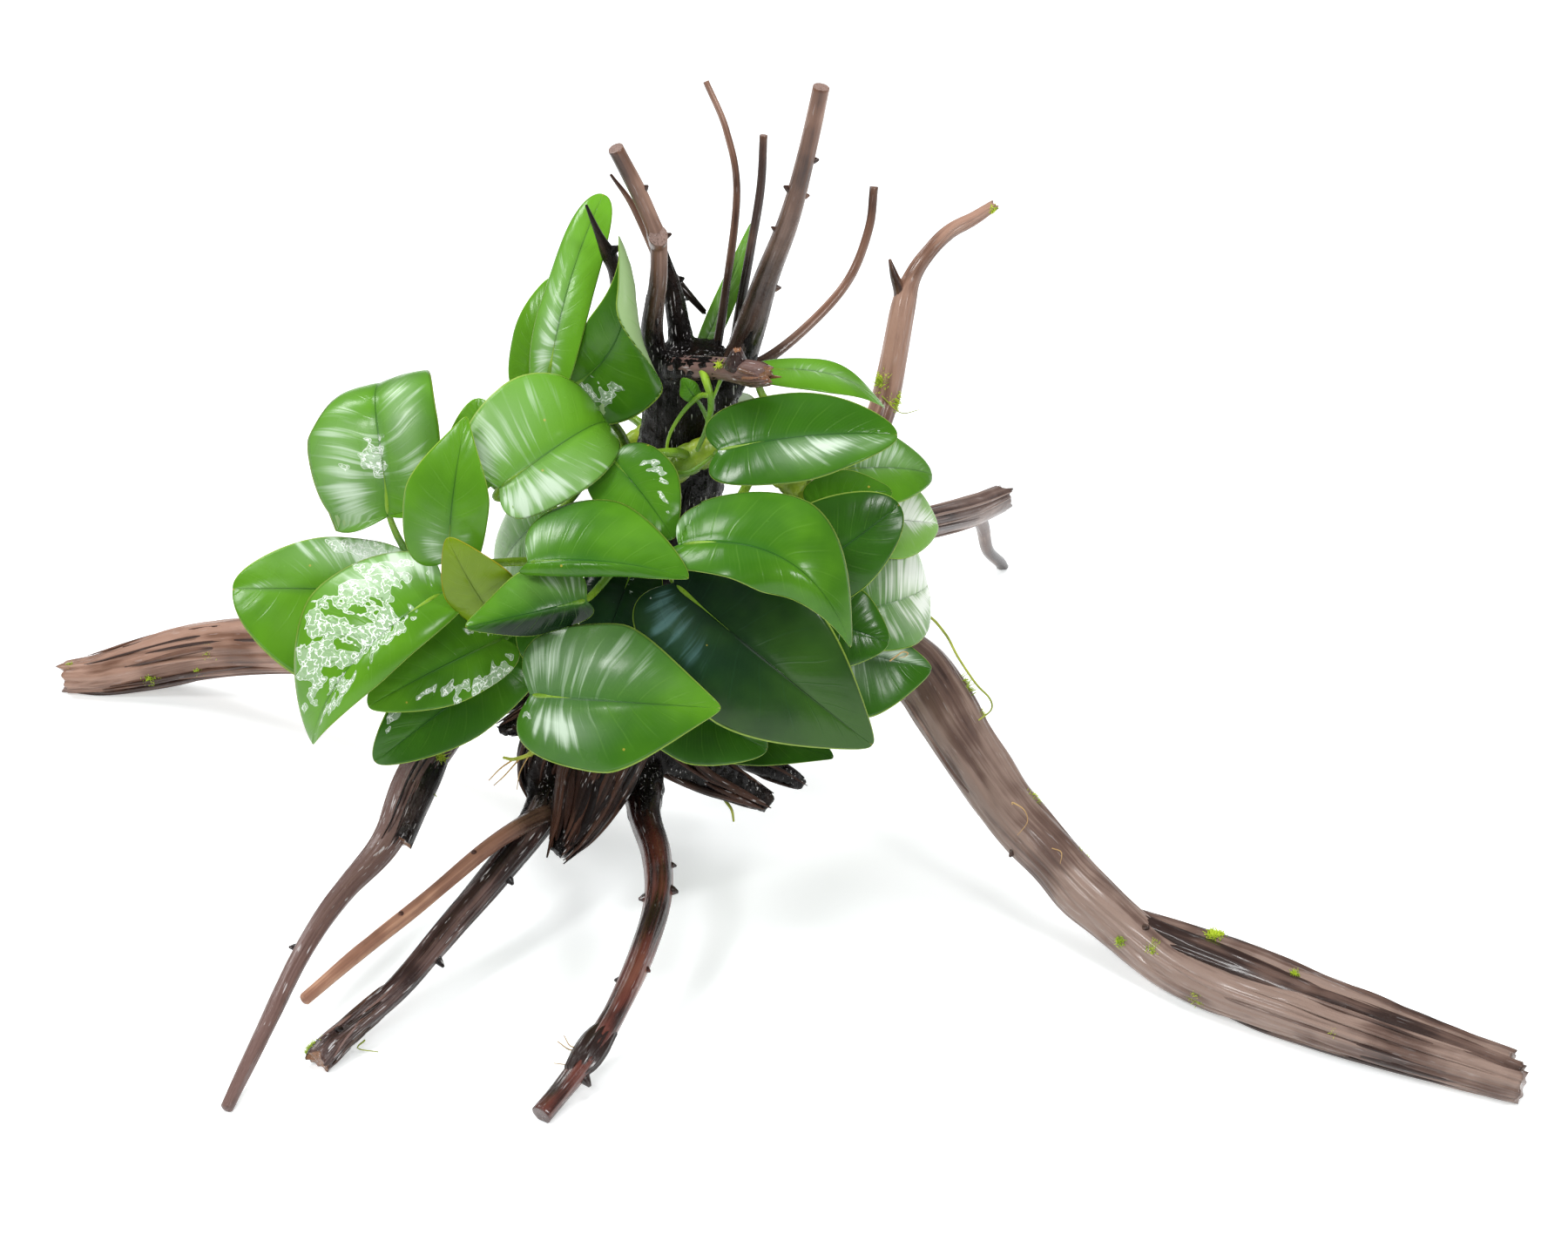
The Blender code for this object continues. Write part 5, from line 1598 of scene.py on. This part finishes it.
    def stem(self, leaf: Leaf) -> Surface:
        """The stem: a Bezier curve from the rhizome to the blade, going on under the midrib.

        Args:
            leaf: the leaf.

        Returns:
            The closed stem.
        """
        route = np.array(RHIZOMES[leaf.stem[0]], float)
        path = curve_at(route, np.linspace(0, len(route) - 1, 8 * (len(route) - 1) + 1))
        row = int(round(leaf.stem[1] * (len(path) - 1)))
        ahead = unit(np.gradient(path[:, :3], axis=0))[row]
        base = np.array(leaf.base, float)
        outward = base - path[row, :3]
        outward = unit(outward - ahead * (outward @ ahead))
        root = path[row, :3] + outward * path[row, 3] * 0.8
        along, _, out = self.frame(leaf, np.array(0.0))
        reach = float(np.linalg.norm(base - root)) * self.stem_reach
        neck = math.radians(leaf.neck)
        bend = base - (along * math.cos(neck) + out * math.sin(neck)) * reach
        t = np.linspace(0, 1, 9)[:-1, None]
        curve = ((1 - t) ** 3 * root + 3 * (1 - t) ** 2 * t * (root + outward * reach)
                 + 3 * (1 - t) * t ** 2 * bend + t ** 3 * base)
        y = np.array([0.02, 0.12, 0.3, 0.5, 0.75])
        _, _, up = self.frame(leaf, y)
        rib = self.midrib(leaf, y) - up * self.rib_sink
        thick = min(self.stem_radius, self.stem_share * sum(leaf.halves))
        taper = self.stem_spread - (self.stem_spread - 0.8) * t[:, 0]
        radius = thick * np.concatenate([taper, [0.72, 0.62, 0.5, 0.36, 0.2]])
        route = np.column_stack([np.vstack([curve, rib]), radius])
        return soft_tube(route, self.stem_step, self.stem_sides, self.stem_tone)

    def build(self) -> list[bpy.types.Object]:
        """Make every leaf, the stem in its own finish.

        Returns:
            The pieces.
        """
        finishes = {slot: finish.build() for slot, finish in LEAF_FINISHES.items()}
        green = STEM_FINISH.build()
        pieces = []
        for name, leaf in LEAVES.items():
            blade, stem = self.blade(name, leaf), self.stem(leaf)
            mesh = Surface.join([blade, stem]).mesh(f"{name}_blade")
            piece = place_piece(mesh, finishes[leaf.slot], (name,))
            mesh.materials.append(green)
            index = np.zeros(len(mesh.polygons), np.int32)
            quads, fans = len(blade.quads), len(blade.quads) + len(stem.quads)
            index[quads:fans] = 1
            index[fans + len(blade.triangles):] = 1
            mesh.polygons.foreach_set("material_index", index)
            pieces.append(piece)
        return pieces


@dataclass
class Rhizomes:
    """The creeping stems that the leaves spring from, ringed where old leaves stood."""
    waist: float = 0.09
    every: float = 4.5
    step: float = 0.7
    sides: int = 28

    def build(self) -> list[bpy.types.Object]:
        """Make each rhizome.

        Returns:
            The pieces.
        """
        finish = RHIZOME_FINISH.build()
        pieces = []
        for name, route in RHIZOMES.items():
            tube = soft_tube(np.array(route, float), self.step, self.sides, waist=self.waist,
                             every=self.every)
            pieces.append(place_piece(tube.mesh(f"{name}_skin"), finish, (name,)))
        return pieces


def strands(base: Array, heading: Array, length: Array, radius: float, droop: float, seed: int,
            sides: int = 4, rows: int = 6) -> Surface:
    """Many thin tapering strands at once.

    A strand at share s of its length is at its base plus its heading times s, plus a curl of its
    own times s^2, with its radius falling from the whole to a fifth.

    Args:
        base: where each strand starts.
        heading: the direction of each strand.
        length: the length of each strand.
        radius: the radius of all of them at their base.
        droop: how far each one curls, as a share of its length.
        seed: the number that the curls are drawn from.
        sides: the number of sides of a strand.
        rows: the number of rings of a strand.

    Returns:
        The closed strands.
    """
    rng = np.random.default_rng(seed)
    count = len(base)
    curl = rng.normal(0, 1, (count, 3)) * droop
    s = np.linspace(0, 1, rows)[None, :, None]
    line = base[:, None] + (heading[:, None] * s + curl[:, None] * s ** 2) * length[:, None, None]
    ahead = unit(heading)
    across = unit(np.cross(ahead, unit(rng.normal(0, 1, (count, 3)))))
    beside = np.cross(ahead, across)
    angle = np.arange(sides) * 2 * math.pi / sides
    ring = across[:, None] * np.cos(angle)[:, None] + beside[:, None] * np.sin(angle)[:, None]
    grid = line[:, :, None] + ring[:, None] * (radius * (1 - 0.8 * s))[..., None]
    number = np.arange(count * rows * sides).reshape(count, rows, sides)
    turned = np.roll(number, -1, axis=2)
    quads = np.stack([number[:, :-1], turned[:, :-1], turned[:, 1:], number[:, 1:]], -1).reshape(-1, 4)
    first = count * rows * sides + np.arange(count)[:, None] + np.zeros((1, sides), int)
    start = np.stack([first, turned[:, 0], number[:, 0]], -1).reshape(-1, 3)
    stop = np.stack([first + count, number[:, -1], turned[:, -1]], -1).reshape(-1, 3)
    points = np.vstack([grid.reshape(-1, 3), line[:, 0], line[:, -1]])
    tone = np.concatenate([np.broadcast_to(s[..., None] - 0.5, (count, rows, sides, 1)).ravel(),
                           np.full(count, -0.5), np.full(count, 0.5)])
    mood = np.column_stack([tone * 0, tone, tone * 0])
    return Surface(points, quads, np.vstack([start, stop]), {"mood": mood, "place": mood})


@dataclass(frozen=True)
class Tuft:
    """Moss that grows on a limb, around a share of its length and on one side.

    spread is its half length along the limb and round it, and length that of its longest blades.
    spur is the number of the limb's spur that it grows on, or -1 for the limb itself.
    """
    limb: str
    share: float
    toward: Point
    spread: float = 3.0
    count: int = 90
    length: float = 2.0
    spur: int = -1


class RootKind(Enum):
    """The kinds of thin root."""
    GREEN = "green"
    TAN = "tan"
    STEM = "stem"


@dataclass(frozen=True)
class Root:
    """A thin root along a curve, thinning to its tip."""
    route: tuple
    radius: float
    kind: RootKind = RootKind.TAN


@dataclass
class SmallGrowth:
    """The moss on the wood and the thin roots that hang free.

    droop is how far a blade of moss curls, and thinning a root's radius at its tip, as a share.
    """
    blade_radius: float = 0.2
    droop: float = 0.35
    first_seed: int = 50
    root_step: float = 0.8
    root_sides: int = 8
    thinning: float = 0.45

    def tuft(self, tuft: Tuft, seed: int) -> Surface:
        """Blades over an oval patch of the bark, which lean outwards at random.

        Args:
            tuft: its place and sizes.
            seed: the number that it is drawn from.

        Returns:
            The closed blades.
        """
        rng = np.random.default_rng(seed)
        limb = LIMBS[tuft.limb] if tuft.spur < 0 else SPURS[tuft.limb][tuft.spur]
        route, along = even_curve(np.array(limb.route, float), 0.5)
        middle = tuft.share * along[-1]
        spot = np.clip(middle + rng.normal(0, 0.5, tuft.count) * tuft.spread, 0.0, along[-1])
        row = np.searchsorted(along, spot).clip(1, len(along) - 1)
        ahead = unit(np.gradient(route[:, :3], axis=0))[row]
        out = np.array(tuft.toward, float) - ahead * (ahead @ np.array(tuft.toward, float))[:, None]
        out = unit(out)
        round_it = np.cross(ahead, out)
        turn = np.clip(rng.normal(0, 0.5, tuft.count) * tuft.spread / route[row, 3], -1.3, 1.3)
        out = out * np.cos(turn)[:, None] + round_it * np.sin(turn)[:, None]
        base = route[row, :3] + out * (route[row, 3] * 0.95)[:, None]
        heading = unit(out + rng.normal(0, 0.45, (tuft.count, 3)))
        length = tuft.length * rng.uniform(0.35, 1.0, tuft.count)
        return strands(base, heading, length, self.blade_radius, self.droop, seed + 1)

    def build(self) -> list[bpy.types.Object]:
        """Make the moss in one piece and each kind of root in another.

        Returns:
            The pieces.
        """
        tufts = [self.tuft(tuft, self.first_seed + k) for k, tuft in enumerate(TUFTS)]
        moss = Surface.join(tufts).mesh("moss_tufts")
        pieces = [place_piece(moss, MOSS_FINISH.build())]
        for kind, finish in ROOT_FINISHES.items():
            tubes = []
            for root in ROOTS:
                if root.kind is kind:
                    points = np.array(root.route, float)
                    taper = root.radius * np.linspace(1, self.thinning, len(points))
                    route = np.column_stack([points, taper])
                    tubes.append(soft_tube(route, self.root_step, self.root_sides))
            mesh = Surface.join(tubes).mesh(f"{kind.value}_roots")
            pieces.append(place_piece(mesh, finish.build()))
        return pieces


TUFTS = (
    Tuft("back_right_branch", 0.63, (-1, -1, 0.2), 2.6, 200, 1.4),
    Tuft("back_right_branch", 0.60, (1, -0.6, 0.2), 2.6, 140, 1.6),
    Tuft("back_right_branch", 0.53, (1, -0.1, 0.2), 4.0, 50, 2.2),
    Tuft("back_right_branch", 0.46, (1, -0.1, 0.3), 2.6, 90, 2.6),
    Tuft("back_right_branch", 0.99, (1, -0.5, 0.3), 1.6, 60, 0.9),
    Tuft("right_leg", 0.315, (1, 0.2, 0.7), 2.4, 70, 2.8),
    Tuft("right_leg", 0.345, (1, 0.2, 0.7), 1.6, 60, 1.8),
    Tuft("right_leg", 0.445, (1, 0.2, 0.7), 3.4, 90, 1.4),
    Tuft("right_leg", 0.52, (1, 0.2, 0.7), 3.0, 40, 1.0),
    Tuft("right_leg", 0.64, (-0.2, -0.7, 1.0), 1.8, 260, 1.2),
    Tuft("right_leg", 0.61, (-1.0, -1.0, 0.4), 1.6, 110, 1.0),
    Tuft("right_leg", 0.70, (-0.6, -1.0, -0.2), 2.6, 130, 1.1),
    Tuft("right_leg", 0.83, (-0.3, -1.0, 0.6), 1.0, 80, 1.1),
    Tuft("right_leg", 0.22, (0, 0.2, 1), 2.4, 260, 1.6, 0),
    Tuft("right_leg", 0.45, (0, -0.6, 1), 1.2, 90, 1.2, 0),
    Tuft("broken_stub", 0.66, (0, -1, 0.8), 0.8, 60, 1.2),
    Tuft("front_leg", 0.985, (-1, -0.3, 0.2), 2.6, 150, 1.1),
    Tuft("front_left_leg", 0.31, (0.6, -1, 0.2), 1.2, 70, 2.6),
    Tuft("left_branch", 0.74, (0, -0.9, 0.5), 3.0, 60, 0.7),
    Tuft("left_branch", 0.86, (0, -1, -0.3), 2.4, 130, 1.1),
    Tuft("left_branch", 0.775, (0, -1, -0.4), 1.6, 70, 1.0),
    Tuft("left_branch", 0.99, (-0.6, -0.4, 1), 1.6, 60, 0.9),
    Tuft("back_leg", 0.45, (0.4, -0.2, 1), 6.0, 120, 1.5),
)

ROOTS = (
    Root(((50, -20, 84), (59.8, -22, 86.1), (66.1, -24, 80.4), (70.2, -26, 73.1), (75.7, -30, 66),
          (79.9, -34, 63), (80.4, -36, 60.1), (76.5, -38, 57.5)), 0.5, RootKind.GREEN),
    Root(((-54, -51, 86), (-57, -52, 72), (-59.6, -53, 62.6), (-59.8, -54.5, 59), (-62, -56, 56.3),
          (-66.8, -57, 55.1), (-69.8, -58, 56.3)), 1.1, RootKind.GREEN),
    Root(((-62, -56, 56.3), (-58.8, -54.5, 57.6), (-56.1, -53, 60.7), (-54, -52, 66)), 0.9,
         RootKind.GREEN),
    Root(((-66.8, -57, 55.1), (-70.8, -58, 52.5), (-74.6, -59, 48.7)), 0.35),
    Root(((-65.2, -57, 55.1), (-69.6, -58, 50), (-73, -60, 47.5)), 0.3),
    Root(((-62, -56, 56.3), (-65, -58, 51), (-66, -60, 46)), 0.25),
    Root(((-5, -26, 38), (-4.4, -28, 26.2), (-2.8, -30, 23.2), (-0.6, -32, 20.5), (0, -32, 16.3)),
         0.8, RootKind.GREEN),
    Root(((86.1, -62, 42), (86.1, -65, 44.4), (89.3, -68, 43.8), (90.4, -69, 40),
          (87.6, -68, 34.5)), 0.22),
    Root(((98, -73, 33), (100.6, -76, 33.5), (100.3, -77, 30)), 0.18),
    Root(((47.5, -72, 99), (49, -74, 101.5), (51.2, -74, 103.2), (52.8, -73.5, 102.4),
          (51.8, -73, 101), (50.4, -73, 100.6)), 0.26),
    Root(((-8.4, -40, 181), (-7, -47, 180), (-5.3, -50, 174), (-6.4, -52, 167), (-9.5, -50, 158)),
         1.5, RootKind.STEM),
    Root(((-1, -46, 183), (-2.5, -48, 180), (-4.6, -50, 175)), 0.9, RootKind.STEM),
    Root(((-6.2, -50, 176), (-9, -48, 174.5), (-14, -46, 168), (-18, -46, 160), (-19, -47, 151)),
         0.9, RootKind.STEM),
    Root(((-20, -51, 150), (-15, -53, 151.5), (-11, -54, 153), (-5, -52, 157)), 1.3, RootKind.STEM),
    Root(((-43, -143, 12), (-46, -145, 10), (-50, -146, 13.9)), 0.3),
    Root(((-42, -145, 12), (-46, -146, 12), (-48, -146, 16)), 0.25),
    Root(((-40, -147, 10), (-46, -149, 8), (-51, -150, 9)), 0.25),
    Root(((-108, -132, 4), (-110, -134, 2.5), (-104, -134, 1.2)), 0.3, RootKind.GREEN),
    Root(((48, 66, 118), (54, 62, 114), (60, 60, 116)), 0.25, RootKind.GREEN),
    Root(((-90, -52, 50), (-93, -56, 45), (-91, -58, 42)), 0.35, RootKind.GREEN),
)

ROOT_FINISHES = {
    RootKind.GREEN: GREEN_ROOT_FINISH,
    RootKind.TAN: ROOT_FINISH,
    RootKind.STEM: STEM_FINISH,
}


@dataclass(frozen=True)
class Lamp:
    """A square soft light, which the wet surfaces may mirror or not. Its sizes are in metres."""
    name: str
    place: Point
    size: float
    power: float
    mirrored: bool = True


LAMPS = (
    Lamp("softbox_top", (0.05, 0.30, 1.35), 1.0, 19.0, mirrored=False),
    Lamp("softbox_front", (-0.25, -1.35, 1.15), 0.5, 8.0, mirrored=False),
    Lamp("lamp_back", (-0.75, 0.50, 0.95), 0.3, 4.0),
    Lamp("lamp_left", (-0.65, -0.55, 0.95), 0.2, 5.0),
    Lamp("lamp_right", (0.70, -0.75, 0.75), 0.2, 4.0),
)


@dataclass
class Studio:
    """A pale floor, soft lights and the camera at the photograph's viewing angle, in metres.

    elevation is the camera's angle above the level in degrees, lens its focal length in
    millimetres, and sky the strength of the light from all round.
    """
    target: Point = (0.016, -0.026, 0.084)
    distance: float = 1.147
    elevation: float = 30.0
    lens: float = 85.0
    floor_side: float = 6.0
    floor_colour: Colour = (0.80, 0.81, 0.82)
    floor_glow: float = 0.45
    sky: float = 0.16

    def floor(self) -> None:
        """A wide pale floor at the level that the wood rests on."""
        mesh = bpy.data.meshes.new("floor")
        side = self.floor_side
        mesh.from_pydata([(-side, -side, 0), (side, -side, 0), (side, side, 0), (-side, side, 0)], [],
                         [(0, 1, 2, 3)])
        g = Graph("floor_white")
        g.shader.inputs["Base Color"].default_value = (*self.floor_colour, 1)
        g.shader.inputs["Roughness"].default_value = 0.8
        g.shader.inputs["Emission Color"].default_value = (0.97, 1.0, 0.99, 1)
        g.shader.inputs["Emission Strength"].default_value = self.floor_glow
        mesh.materials.append(g.material)
        floor = bpy.data.objects.new("floor", mesh)
        bpy.context.scene.collection.objects.link(floor)

    def light(self, lamp: Lamp) -> None:
        """Put a lamp up, turned towards the plant.

        Args:
            lamp: its place, size and power.
        """
        data = bpy.data.lights.new(lamp.name, "AREA")
        data.size = lamp.size
        data.energy = lamp.power
        light = bpy.data.objects.new(lamp.name, data)
        bpy.context.scene.collection.objects.link(light)
        light.visible_glossy = lamp.mirrored
        light.location = lamp.place
        away = np.array(lamp.place) - np.array(self.target)
        light.rotation_euler = (math.acos(away[2] / np.linalg.norm(away)), 0,
                                math.atan2(away[1], away[0]) + math.pi / 2)

    def build(self) -> None:
        """Make the floor, the world's light, the lamps and the camera."""
        self.floor()
        world = bpy.data.worlds.new("studio")
        world.use_nodes = True
        background = world.node_tree.nodes["Background"]
        background.inputs["Color"].default_value = (0.94, 0.97, 1.0, 1)
        background.inputs["Strength"].default_value = self.sky
        bpy.context.scene.world = world
        for lamp in LAMPS:
            self.light(lamp)
        data = bpy.data.cameras.new("camera")
        data.lens = self.lens
        data.sensor_width = 36.0
        data.clip_end = 20.0
        camera = bpy.data.objects.new("camera", data)
        bpy.context.scene.collection.objects.link(camera)
        tilt = math.radians(self.elevation)
        x, y, z = self.target
        camera.location = (x, y - self.distance * math.cos(tilt), z + self.distance * math.sin(tilt))
        camera.rotation_euler = (math.pi / 2 - tilt, 0, 0)
        bpy.context.scene.camera = camera
        bpy.context.scene.view_settings.view_transform = "Standard"


def main() -> None:
    """Build the studio and every part of the plant and its wood, in order."""
    logging.basicConfig(level=logging.INFO, format="%(name)s %(message)s")
    Studio().build()
    Driftwood().build()
    Rhizomes().build()
    Foliage().build()
    SmallGrowth().build()


if __name__ == "__main__":
    main()
